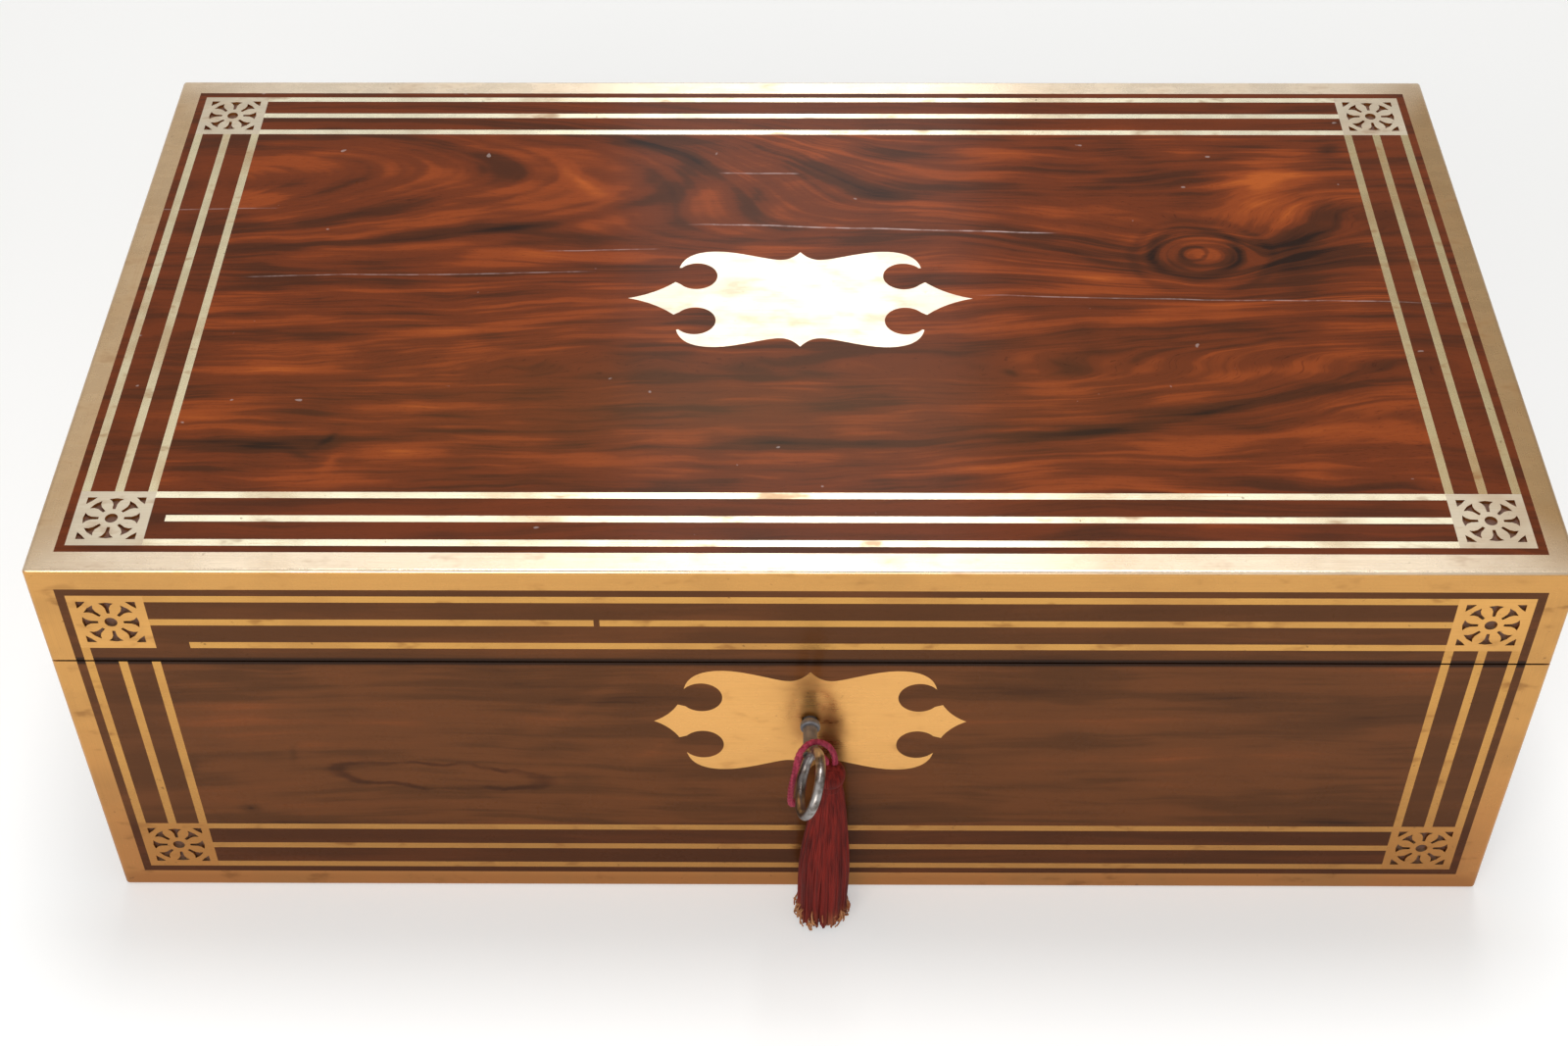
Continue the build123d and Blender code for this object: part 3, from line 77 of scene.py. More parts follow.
class Graph:
    """Short names for building the nodes of one material or world."""

    def __init__(self, owner, shader="Principled BSDF"):
        owner.use_nodes = True
        self.material = owner
        self.tree = owner.node_tree
        self.shader = self.tree.nodes[shader]
        self.coords = self.node("ShaderNodeTexCoord").outputs

    def feed(self, socket, value):
        if isinstance(value, bpy.types.NodeSocket):
            self.tree.links.new(value, socket)
        else:
            socket.default_value = value

    def node(self, kind, **settings):
        made = self.tree.nodes.new(kind)
        for key, value in settings.items():
            setattr(made, key, value)
        return made

    def math(self, operation, *values):
        made = self.node("ShaderNodeMath", operation=operation)
        for socket, value in zip(made.inputs, values):
            self.feed(socket, value)
        return made.outputs[0]

    def size(self, value):
        return self.math("ABSOLUTE", value)

    def less(self, first, second):
        return self.math("SUBTRACT", first, second)

    def apart(self, value, middle):
        """Distance of a value from a middle one."""
        return self.size(self.less(value, middle))

    def add(self, *values):
        total = values[0]
        for value in values[1:]:
            total = self.math("ADD", total, value)
        return total

    def times(self, first, second):
        return self.math("MULTIPLY", first, second)

    def vmath(self, operation, first, second=None, scale=None):
        made = self.node("ShaderNodeVectorMath", operation=operation)
        self.feed(made.inputs[0], first)
        if second is not None:
            self.feed(made.inputs[1], second)
        if scale is not None:
            self.feed(made.inputs["Scale"], scale)
        return made.outputs["Value" if operation == "LENGTH" else "Vector"]

    def parts(self, vector):
        made = self.node("ShaderNodeSeparateXYZ")
        self.feed(made.inputs[0], vector)
        return made.outputs[0], made.outputs[1], made.outputs[2]

    def vector(self, x, y, z):
        made = self.node("ShaderNodeCombineXYZ")
        for socket, value in zip(made.inputs, (x, y, z)):
            self.feed(socket, value)
        return made.outputs[0]

    def flattened(self, vector):
        """The vector with 0 for its third part."""
        return self.vector(*self.parts(vector)[:2], 0.0)

    def noise(self, vector, scale=1.0, detail=2.0, rough=0.5, output="Fac"):
        made = self.node("ShaderNodeTexNoise")
        self.feed(made.inputs["Vector"], vector)
        self.feed(made.inputs["Scale"], scale)
        self.feed(made.inputs["Detail"], detail)
        self.feed(made.inputs["Roughness"], rough)
        return made.outputs[output]

    def drift(self, vector, scale, detail):
        """A smooth push at each place, from -0.5 to 0.5 along each axis."""
        return self.vmath("SUBTRACT", self.noise(vector, scale, detail, output="Color"), (0.5, 0.5, 0.5))

    def moved(self, vector, push, amount):
        return self.vmath("ADD", vector, self.vmath("SCALE", push, scale=amount))

    def smooth(self, value, low, high, start=0.0, stop=1.0):
        """start below low, stop above high, and an S curve between; low may lie above high."""
        made = self.node("ShaderNodeMapRange", interpolation_type="SMOOTHSTEP")
        items = {"Value": value, "From Min": low, "From Max": high, "To Min": start, "To Max": stop}
        for name, item in items.items():
            self.feed(made.inputs[name], item)
        return made.outputs[0]

    def local(self, vector, centre, turn, half):
        """Coordinates in a patch's own frame, 1 at its rim."""
        made = self.node("ShaderNodeMapping", vector_type="TEXTURE")
        self.feed(made.inputs["Vector"], vector)
        made.inputs["Location"].default_value = (centre[0], centre[1], 0)
        made.inputs["Rotation"].default_value = (0, 0, math.radians(turn))
        made.inputs["Scale"].default_value = (half[0], half[1], 1)
        return made.outputs[0]

    def patch(self, vector, centre, turn, half):
        """1 in the middle of a soft oval patch, 0 outside it."""
        made = self.node("ShaderNodeTexGradient", gradient_type="QUADRATIC_SPHERE")
        self.feed(made.inputs[0], self.local(vector, centre, turn, half))
        return made.outputs["Fac"]

    def line(self, vector, start, stop, width):
        """1 along a thin straight line between two points."""
        centre = ((start[0] + stop[0]) / 2, (start[1] + stop[1]) / 2)
        run = math.dist(start, stop)
        turn = math.degrees(math.atan2(stop[1] - start[1], stop[0] - start[0]))
        along, across, _ = self.parts(self.local(vector, centre, turn, (run / 2, width / 2)))
        inside = self.smooth(self.size(along), 1.0, 0.8)
        return self.times(inside, self.smooth(self.size(across), 1.0, 0.3))

    def ramp(self, factor, stops):
        made = self.node("ShaderNodeValToRGB")
        made.color_ramp.interpolation = "EASE"
        elements = made.color_ramp.elements
        while len(elements) < len(stops):
            elements.new(0.5)
        for element, (position, value) in zip(elements, stops):
            element.position = position
            element.color = value
        self.feed(made.inputs[0], factor)
        return made.outputs["Color"]

    def mix(self, factor, first, second, blend="MIX"):
        made = self.node("ShaderNodeMix", data_type="RGBA", blend_type=blend)
        for number, value in ((0, factor), (6, first), (7, second)):
            self.feed(made.inputs[number], value)
        return made.outputs[2]

    def shade(self, factor, base, red, green, blue):
        """base, multiplied by a tint where factor is 1."""
        return self.mix(factor, base, self.mix(1.0, base, (red, green, blue, 1), "MULTIPLY"))

    def blend(self, factor, first, second):
        made = self.node("ShaderNodeMix", data_type="FLOAT")
        for number, value in ((0, factor), (2, first), (3, second)):
            self.feed(made.inputs[number], value)
        return made.outputs[0]

    def bump(self, height, distance, strength=1.0):
        made = self.node("ShaderNodeBump")
        for name, value in (("Height", height), ("Distance", distance), ("Strength", strength)):
            self.feed(made.inputs[name], value)
        self.feed(self.shader.inputs["Normal"], made.outputs[0])

    def seen(self):
        """1 for the rays that show a surface: straight, in a mirror or through glass."""
        rays = self.node("ShaderNodeLightPath").outputs
        direct = self.math("MAXIMUM", rays["Is Camera Ray"], rays["Is Glossy Ray"])
        return self.math("MAXIMUM", direct, rays["Is Transmission Ray"])

    def set(self, **values):
        for name, value in values.items():
            self.feed(self.shader.inputs[name.replace("_", " ")], value)


def surface(name):
    """A new material's graph, with the object's own coordinates in millimetres."""
    g = Graph(bpy.data.materials.new(name))
    g.millimetres = g.vmath("SCALE", g.coords["Object"], scale=1000.0)
    return g


def paint(graph, *names):
    """One material on every slot of the named CAD objects."""
    for name in names:
        obj = NODES[name]
        if not obj.material_slots:
            obj.data.materials.append(graph.material)
        for slot in obj.material_slots:
            slot.material = graph.material


# Woods

# Half sizes of the fields inside the stringing, and the heights over which painted shade darkens the front's
# foot
INNER_X, INNER_Y, INNER_Z = 173.2, 82.2, 35.6
INNER_MIDDLE_Z = 65.4
FOOT_SHADE = (33.0, 27.0)
TOP_TONES = [
    (0.18, colour(38, 19, 8)), (0.36, colour(76, 37, 15)), (0.5, colour(108, 49, 19)),
    (0.62, colour(141, 65, 25)), (0.8, colour(176, 88, 34)),
]
FRONT_TONES = [
    (0.22, colour(60, 34, 16)), (0.42, colour(94, 56, 28)), (0.56, colour(112, 66, 34)),
    (0.8, colour(138, 76, 38)),
]


# Layers of the figure: the ways along and across with their scales, the noise's shift, octaves and
# roughness, its share of the tone, and whether the share shrinks on plainer wood
LAYERS = [
    ("run", 0.01, "field", 0.075, 3.1, 2.0, 0.55, 0.46, False),
    ("run", 0.015, "field", 0.22, 7.7, 3.0, 0.55, 0.46, False),
    ("run", 0.024, "field", 0.55, 4.4, 2.0, 0.55, 0.34, True),
    ("along", 0.05, "grain", 1.8, 1.3, 3.0, 0.65, 0.12, True),
    ("run", 0.035, "across", 0.09, 9.9, 2.0, 0.5, 0.32, False),
]
LAYERS_MIDDLE = -0.35
PLAINER_LIFT = 0.23
WIDE_WARP, CLOSE_WARP = 30.0, 6.0
RING_WARP, SCRATCH_WARP = 7.0, 2.4
SCRATCH = colour(196, 172, 168)


def rosewood(name, axes, tones, seed, poles=(), patches=(), lines=(), rings=(), bends=(), edge=None,
             figure=1.0, fine=1.0):
    """Streaky figured wood. axes name the run of the grain and the way across it; u runs round a corner.

    poles turn the streaks into ovals round a knot, bends lift them, patches darken or lighten a spot,
    rings and lines are drawn on top, and edge marks off a calmer border.
    """
    g = surface(name)
    ways = dict(zip("xyz", g.parts(g.millimetres)))
    ways["u"] = g.add(ways["x"], ways["y"])
    along, across = ways[axes[0]], ways[axes[1]]
    flat = g.vector(along, across, seed)
    slow = g.vector(g.times(along, 0.45), across, seed)
    wide, close = g.drift(slow, 0.012, 1.0), g.drift(slow, 0.06, 2.0)
    warped = g.moved(g.moved(flat, wide, WIDE_WARP * figure), close, CLOSE_WARP * figure)
    run, level, _ = g.parts(warped)
    field = level
    for (start, stop), (low, high), fade, rise in bends:
        window = g.times(g.smooth(across, low - fade, low + fade), g.smooth(across, high + fade, high - fade))
        field = g.add(field, g.times(g.times(window, g.smooth(along, start, stop)), -rise))
    grain = field
    for centre, turn, reach, spacing, rim in poles:
        out = g.vmath("LENGTH", g.local(g.vector(run, level, 0.0), centre, turn, reach))
        near = g.smooth(out, rim, 0.75)
        field = g.blend(near, field, g.add(g.times(out, spacing), centre[1]))

    ways.update(run=run, field=field, grain=grain, along=along, across=across)
    layers = []
    for first, scale, second, other_scale, shift, octaves, rough, share, shrinks in LAYERS:
        place = g.vector(g.times(ways[first], scale), g.times(ways[second], other_scale), seed + shift)
        layers.append(g.times(g.noise(place, 1.0, octaves, rough), share * fine if shrinks else share))
    tone = g.add(*layers, LAYERS_MIDDLE + PLAINER_LIFT * (1 - fine))
    shaped = g.vector(run, across, 0.0)
    for centre, turn, reach, amount in patches:
        tone = g.add(tone, g.times(g.patch(shaped, centre, turn, reach), amount))
    wobbly = g.flattened(g.moved(flat, close, RING_WARP))
    for centre, turn, reach, width, amount in rings:
        off = g.apart(g.vmath("LENGTH", g.local(wobbly, centre, turn, reach)), 1.0)
        tone = g.add(tone, g.times(g.smooth(off, width, 0.0), amount))
    if edge is not None:
        middle, half_along, half_across = edge
        out_along = g.math("GREATER_THAN", g.apart(along, middle[0]), half_along)
        out_across = g.math("GREATER_THAN", g.apart(across, middle[1]), half_across)
        calmer = g.add(g.times(tone, 0.5), 0.2)
        tone = g.blend(g.math("MAXIMUM", out_along, out_across), tone, calmer)

    base = g.ramp(tone, tones)
    pore = g.noise(g.vector(g.times(along, 0.32), g.times(grain, 4.6), seed + 5.0), 1.0, 2.0, 0.7)
    base = g.shade(g.times(g.smooth(pore, 0.42, 0.3), fine), base, 0.66, 0.6, 0.56)
    wander = g.moved(flat, close, SCRATCH_WARP)
    marks = [g.times(g.line(wander, start, stop, width), amount) for start, stop, width, amount in lines]
    if marks:
        worn = marks[0]
        for mark in marks[1:]:
            worn = g.math("MAXIMUM", worn, mark)
        broken = g.smooth(g.noise(flat, 0.16, 3.0, 0.7), 0.38, 0.62)
        base = g.mix(g.times(worn, g.blend(0.65, 1.0, broken)), base, SCRATCH)
    return g, base, pore, flat


def polish(g, base, height, rough=0.3, coat=0.22):
    """French polish: a thin clear coat over the wood."""
    hand = g.noise(g.millimetres, 0.045, 3.0, 0.6)
    dust = g.noise(g.millimetres, 0.6, 2.0, 0.6)
    g.set(Base_Color=base, Roughness=g.add(rough - 0.08, g.times(hand, 0.12), g.times(dust, 0.05)),
          Specular_IOR_Level=0.03, Coat_Weight=coat, Coat_Roughness=0.14, Coat_IOR=1.33)
    g.bump(height, 0.00006, 0.35)


def top_wood():
    """The top's flame, knot and streaks, placed in millimetres from the middle of the lid."""
    poles = [
        ((118, 21), 6, (15, 12), 9.0, 1.6),
        ((-190, 56), 2, (156, 34), -34.0, 1.5),
    ]
    rings = [
        ((118.5, 21.5), 4, (13.5, 11.5), 0.26, -0.15),
        ((118.5, 21), 0, (4, 3.6), 0.34, -0.14),
        ((120, 20), 6, (21, 17), 0.14, -0.06),
        ((-190, 56), 2, (157, 34), 0.07, -0.1),
        ((-190, 56), 2, (144, 28), 0.04, -0.05),
    ]
    bends = [
        ((-172, -30), (-30, 12), 8, 10),
        ((60, 178), (-62, -12), 26, 19),
        ((40, 112), (2, 38), 13, -14),
        ((122, 172), (4, 60), 22, 16),
    ]
    patches = [
        ((-152, 55), 4, (34, 14), -0.24),
        ((-155, 21), 3, (62, 7), -0.17),
        ((-38, 57), 0, (9, 28), -0.08),
        ((-16, 50), 70, (20, 10), -0.15),
        ((-60, 78), 0, (60, 6), -0.1),
        ((-90, 33), 12, (60, 5), -0.13),
        ((-150, -64), 2, (36, 6), -0.32),
        ((-85, -58), 1, (42, 3), -0.16),
        ((-5, -62), -2, (40, 5), -0.24),
        ((-140, -50), 0, (60, 9), -0.08),
        ((-80, 14), 2, (56, 5), -0.1),
        ((-70, 57), -45, (28, 6.5), 0.22),
        ((-97, 54), -8, (34, 13), 0.14),
        ((-150, 72), 0, (44, 6), 0.11),
        ((-156, 37), 5, (36, 6), 0.15),
        ((-100, -15), 4, (86, 3.5), 0.16),
        ((-108, -66), -4, (28, 7), 0.24),
        ((-127, -70), 70, (10, 5), 0.15),
        ((-131, -61), 62, (9, 3), -0.16),
        ((-137, -67), -20, (9, 2.6), -0.16),
        ((-88, 25), 6, (52, 6), -0.2),
        ((80, 72), -2, (54, 7), 0.14),
        ((144, 57), 45, (42, 20), 0.36),
        ((85, 9), -12, (44, 7), 0.17),
        ((70, -33), -40, (24, 12), 0.17),
        ((120, -7), 4, (56, 5), 0.1),
        ((130, -34), 14, (54, 6), 0.12),
        ((120, -62), 6, (60, 8), 0.11),
        ((40, -72), 0, (44, 6), 0.12),
        ((60, 52), -4, (84, 9), -0.15),
        ((90, 36), -20, (30, 9), -0.1),
        ((144, 20), 40, (30, 23), -0.34),
        ((157, 40), 50, (26, 9), -0.18),
        ((104, -25), 24, (24, 3), -0.12),
        ((136, -16), 10, (44, 3.5), -0.14),
        ((85, -57), 9, (48, 4.5), -0.33),
        ((125, -47), 15, (34, 4), -0.22),
        ((160, -38), 11, (28, 4), -0.15),
        ((25, -63), 0, (46, 3.5), -0.22),
        ((168, 74), 0, (7, 6), -0.2),
        ((82, 20), -25, (32, 3.5), -0.14),
        ((118, 21), 0, (13, 11), 0.18),
        ((63, -33), -30, (5, 3), -0.18),
    ]
    lines = [
        ((-36, 35.5), (80, 31.5), 0.9, 0.75),
        ((-26, 62), (0, 61), 0.8, 0.55),
        ((50, 1.5), (190, -2), 0.7, 0.42),
        ((-168, 10), (-60, 12.5), 0.7, 0.4),
        ((-78, 22), (-42, 23), 0.7, 0.35),
        ((-202, 43), (-160, 43.5), 0.7, 0.3),
    ]
    g, base, height, flat = rosewood("rosewood_top", "xy", TOP_TONES, 2.0, poles, patches, lines, rings,
                                     bends, edge=((0, 0), INNER_X, INNER_Y))
    shade = g.patch(g.flattened(flat), (-20, -48), 0, (260, 66))
    base = g.mix(g.times(shade, 0.32), base, colour(100, 72, 36))
    specks = g.smooth(g.noise(flat, 0.32, 0.0), 0.872, 0.9)
    base = g.mix(g.times(specks, 0.4), base, colour(190, 175, 170))
    polish(g, base, height)
    return g


def front_wood():
    """The front's calmer wood, with one oval figure at the left and painted shade along the gap between lid
    and base.
    """
    patches = [
        ((100, 70), -6, (90, 16), 0.1), ((110, 46), 4, (80, 9), 0.08), ((-60, 84), 40, (30, 5), 0.09),
        ((-40, 66), 44, (34, 5), 0.08), ((-110, 74), 0, (70, 26), 0.05), ((60, 92), 0, (90, 7), -0.1),
        ((-155, 37), 0, (6, 4), -0.3), ((-170, 55), 70, (7, 4), -0.16), ((-140, 62), 90, (8, 2), -0.12),
    ]
    g, base, height, flat = rosewood("rosewood_front", "xz", FRONT_TONES, 11.0, patches=patches,
                                     edge=((0, INNER_MIDDLE_Z), INNER_X, INNER_Z), figure=0.7, fine=0.6)
    wavy = g.moved(flat, g.drift(flat, 0.12, 2.0), 4.5)
    oval = g.local(g.flattened(wavy), (-103, 52), -4, (29.5, 5.4))
    ring = g.smooth(g.apart(g.vmath("LENGTH", oval), 1.0), 0.2, 0.04)
    patchy = g.smooth(g.noise(flat, 0.1, 2.0), 0.3, 0.6)
    base = g.shade(g.times(ring, g.blend(0.6, 0.75, patchy)), base, 0.5, 0.46, 0.46)
    _, _, z = g.parts(g.millimetres)
    # Painted shade along the gap between lid and base, wider than the gap itself
    gap_shade = g.smooth(g.apart(z, JOINT_Z), 1.9, 0.8)
    base = g.mix(g.times(gap_shade, 0.85), base, colour(26, 15, 8))
    # Painted shade: the front darkens towards its foot
    base = g.shade(g.smooth(z, *FOOT_SHADE), base, 0.78, 0.68, 0.68)
    polish(g, base, height, 0.28, 0.24)
    return g


def plain_wood(name, axes, tones, seed, rough=0.3, coat=0.24):
    g, base, height, _ = rosewood(name, axes, tones, seed)
    polish(g, base, height, rough, coat)
    return g


MAHOGANY_TONES = [
    (0.25, colour(70, 34, 20)), (0.45, colour(104, 54, 30)), (0.6, colour(126, 68, 38)),
    (0.8, colour(150, 88, 52)),
]

paint(top_wood(), "lid_top_veneer")
paint(front_wood(), "lid_front_veneer", "base_front_veneer")
paint(plain_wood("rosewood_side", "uz", FRONT_TONES, 21.0), "lid_side_veneers", "base_side_veneers")
paint(plain_wood("rosewood_till", "xz", TOP_TONES, 31.0, 0.45, 0.2), "till_back", "till_dividers")
long_boards = plain_wood("mahogany_long", "xz", MAHOGANY_TONES, 41.0, 0.5, 0.1)
paint(long_boards, "base_front_board", "base_back_board", "lid_front_rail", "lid_back_rail",
      "base_flap_rests", "lid_flap_rests")
flat_boards = plain_wood("mahogany_flat", "xy", MAHOGANY_TONES, 51.0, 0.5, 0.1)
paint(flat_boards, "base_bottom_board", "lid_top_board", "till_floor", "pen_tray", "base_flap_board",
      "lid_flap_board")
paint(plain_wood("mahogany_side", "yz", MAHOGANY_TONES, 61.0, 0.5, 0.1),
      "base_left_board", "base_right_board", "lid_left_rail", "lid_right_rail")


# Metals

# Noise of the fine brushed lines, drawn out along x, y or z
BRUSHED = {"x": (0.03, 4.0, 4.0), "y": (4.0, 0.03, 4.0), "z": (4.0, 4.0, 0.03)}
DEEP_PIT = colour(84, 54, 34)
# On the top, a point belongs to a side piece where |x| - |y| is more than this
HALF_GAP = 91.0


def brass(name, top_colour, front_colour, tarnish, rough, grain="x", patina=1.0, side_shade_colour=None,
          spread=1.0, low_shade_colour=None, fade=(9.0, 3.0)):
    """Old brass, painted paler on the top faces and more golden on the upright faces, standing in for the
    different light each reflects.
    """
    g = surface(name)
    x, y, z = g.parts(g.millimetres)
    _, _, up = g.parts(g.coords["Normal"])
    lines = g.noise(g.vmath("MULTIPLY", g.millimetres, BRUSHED[grain]), 1.0, 2.0, 0.6)
    pale = top_colour
    # Painted shade: the side pieces, catching less of the highlight, take a darker colour, darker still
    # towards the right-hand side
    if side_shade_colour is not None:
        excess = g.less(g.size(x), g.size(y))
        side = g.shade(g.smooth(x, 100.0, 190.0), side_shade_colour, 0.7, 0.64, 0.54)
        pale = g.mix(g.smooth(excess, HALF_GAP - spread, HALF_GAP + spread), top_colour, side)
        sideways = g.noise(g.vmath("MULTIPLY", g.millimetres, BRUSHED["y"]), 1.0, 2.0, 0.6)
        beside = g.smooth(excess, HALF_GAP - 1.0, HALF_GAP + 1.0)
        lines = g.add(g.times(lines, g.less(1.0, beside)), g.times(sideways, beside))
    golden = front_colour
    # Painted shade: upright faces darken towards the bottom, standing in for the shadowed floor they reflect;
    # fade gives the heights
    if low_shade_colour is not None:
        golden = g.mix(g.smooth(z, *fade), front_colour, low_shade_colour)
    # Painted reflection: the paler colour on faces turned up, the more golden colour on upright faces
    base = g.mix(g.smooth(up, 0.35, 0.8), golden, pale)
    cloud = g.noise(g.millimetres, 0.035, 3.0, 0.6)
    smudge = g.noise(g.vmath("MULTIPLY", g.millimetres, (0.5, 1.0, 1.0)), 0.16, 3.0, 0.6)
    pits = g.noise(g.millimetres, 0.45, 2.0, 0.6)
    base = g.mix(g.times(g.smooth(cloud, 0.42, 0.72), 0.45 * patina), base, tarnish)
    stain = g.mix(1.0, tarnish, (0.62, 0.5, 0.42, 1), "MULTIPLY")
    base = g.mix(g.times(g.smooth(smudge, 0.56, 0.74), 0.6 * patina), base, stain)
    base = g.mix(g.times(g.smooth(pits, 0.7, 0.78), 0.5 * patina), base, DEEP_PIT)
    base = g.mix(g.times(g.smooth(lines, 0.45, 0.7), 0.16), base, tarnish)
    dull = g.times(g.smooth(smudge, 0.4, 0.7), 0.1)
    g.set(Base_Color=base, Metallic=1.0, Roughness=g.add(rough, dull, g.times(lines, 0.1), -0.05))
    g.bump(g.add(g.times(lines, 0.25), g.times(pits, 0.35)), 0.00003, 0.35)
    return g


# Painted light in the brass colours: the top colour is a paler reflection, the front colour a more golden
# one, and the side and low colours are painted shade
EDGE_TOP = colour(225, 208, 184)
EDGE_SIDE_SHADE = colour(190, 162, 126)
EDGE_FRONT = colour(200, 148, 84)
EDGE_LOW_SHADE = colour(188, 130, 75)
TARNISH = colour(158, 116, 68)
LOW_SHADE_HEIGHTS = (100.0, 12.0)
paint(brass("edging_brass", EDGE_TOP, EDGE_FRONT, TARNISH, 0.25, patina=0.5,
            side_shade_colour=EDGE_SIDE_SHADE, spread=22.0),
      "lid_top_edging")
# The foot's upright faces are painted darker still, as shade from the shadowed floor they reflect
paint(brass("foot_brass", EDGE_TOP, EDGE_LOW_SHADE, TARNISH, 0.3,
            low_shade_colour=colour(172, 116, 66), fade=(8.0, 4.0)),
      "base_bottom_edging")
paint(brass("corner_brass", EDGE_TOP, EDGE_FRONT, TARNISH, 0.28, "z", low_shade_colour=EDGE_LOW_SHADE, fade=LOW_SHADE_HEIGHTS),
      "lid_corner_edging", "base_corner_edging")
paint(brass("string_brass", colour(236, 228, 200), colour(200, 149, 80), colour(164, 114, 64), 0.24,
            side_shade_colour=colour(208, 196, 162), low_shade_colour=colour(190, 138, 76), fade=LOW_SHADE_HEIGHTS),
      "lid_top_stringing", "lid_front_stringing", "base_front_stringing")
paint(brass("square_brass", colour(204, 192, 170), colour(214, 160, 90), colour(158, 114, 66), 0.3,
            patina=0.7, low_shade_colour=colour(188, 132, 72), fade=LOW_SHADE_HEIGHTS),
      "lid_top_corner_squares", "lid_front_corner_squares", "base_front_corner_squares")
paint(brass("plate_brass", colour(212, 199, 180), colour(226, 170, 100), colour(186, 136, 80), 0.27,
            patina=0.4),
      "cartouche", "escutcheon")
paint(brass("fittings_brass", colour(206, 166, 100), colour(202, 156, 88), colour(140, 104, 60), 0.3,
            patina=0.8),
      "hinge_base_leaves", "hinge_lid_leaves", "lock_case", "link_plate", "right_handle_pan",
      "left_handle_pan", "right_handle_bail", "left_handle_bail", "handle_pins", "base_flap_pins",
      "lid_flap_pins", "inkwell_caps")
paint(brass("screw_brass", colour(206, 168, 104), colour(196, 154, 92), colour(128, 94, 56), 0.32),
      "base_screws", "lid_screws")


def steel():
    """Worn steel, with painted shade on the bow's left limb and a painted grey reflection on the key's duller
    shank.
    """
    g = surface("old_steel")
    cloud = g.noise(g.millimetres, 0.4, 3.0, 0.6)
    base = g.mix(g.smooth(cloud, 0.4, 0.7), colour(156, 152, 150), colour(92, 84, 78))
    x, y, _ = g.parts(g.millimetres)
    # Painted shade where x falls below 4 mm, which takes in the bow's left limb
    base = g.mix(g.times(g.smooth(x, 4.0, 0.5), 0.6), base, colour(58, 46, 42))
    # Painted reflection: the shank is painted flat grey and made less metallic, in place of the brass it
    # would mirror
    shank = g.smooth(y, -124.5, -122.5)
    base = g.mix(g.times(shank, 0.7), base, colour(108, 110, 116))
    g.set(Base_Color=base, Metallic=g.add(0.85, g.times(shank, -0.45)),
          Roughness=g.add(0.22, g.times(cloud, 0.2), g.times(shank, 0.12)))
    g.bump(cloud, 0.00008, 0.4)
    return g


paint(steel(), "key", "lock_bolt", "hinge_pins")


# Filling, leather and glass

def mastic():
    g = surface("dark_filling")
    grain = g.noise(g.millimetres, 1.2, 3.0, 0.6)
    g.set(Base_Color=g.mix(grain, colour(64, 36, 26), colour(112, 74, 54)),
          Roughness=g.add(0.4, g.times(grain, 0.3)))
    g.bump(grain, 0.0001, 0.5)
    return g


paint(mastic(), "lid_mastic_beds", "base_mastic_beds")

# The gilt border: each line's distance from the leather's edge and its width
GILT_LINES = ((9.0, 1.4), (11.6, 0.4), (16.0, 0.4))
LEATHER_HALF_X = 191.0


def leather(name, y_low, y_high):
    """Dark green writing leather with a gilt tooled border."""
    g = surface(name)
    x, y, _ = g.parts(g.millimetres)
    pebble = g.noise(g.millimetres, 1.1, 4.0, 0.65)
    wear = g.noise(g.millimetres, 0.02, 3.0, 0.6)
    base = g.mix(wear, colour(30, 58, 38), colour(52, 78, 50))
    base = g.mix(g.smooth(pebble, 0.55, 0.4), base, colour(20, 38, 26))
    middle, half = (y_low + y_high) / 2, (y_high - y_low) / 2
    inset = g.math("MINIMUM", g.less(LEATHER_HALF_X, g.size(x)), g.less(half, g.apart(y, middle)))
    gilt = None
    for at, width in GILT_LINES:
        mark = g.smooth(g.apart(inset, at), width / 2 + 0.15, width / 2 - 0.1)
        gilt = mark if gilt is None else g.math("MAXIMUM", gilt, mark)
    rubbed = g.smooth(g.noise(g.millimetres, 0.5, 3.0, 0.7), 0.36, 0.5)
    gilt = g.times(gilt, rubbed)
    base = g.mix(gilt, base, colour(196, 156, 84))
    g.set(Base_Color=base, Metallic=g.times(gilt, 0.8),
          Roughness=g.blend(gilt, g.add(0.45, g.times(pebble, 0.2)), 0.35))
    g.bump(g.less(pebble, g.times(gilt, 0.5)), 0.00025, 0.7)
    return g


low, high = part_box("base_flap_leather")
paint(leather("writing_leather_base", low[1] / MM, high[1] / MM), "base_flap_leather")
low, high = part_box("lid_flap_leather")
paint(leather("writing_leather_lid", low[1] / MM, high[1] / MM), "lid_flap_leather")


def glass():
    g = surface("ink_glass")
    ripple = g.noise(g.millimetres, 0.12, 2.0)
    g.set(Base_Color=g.mix(ripple, colour(214, 226, 224), colour(232, 238, 236)),
          Roughness=g.times(ripple, 0.08), Transmission_Weight=1.0, IOR=1.5)
    g.bump(ripple, 0.0002, 0.3)
    return g


paint(glass(), "inkwells")


# Silk

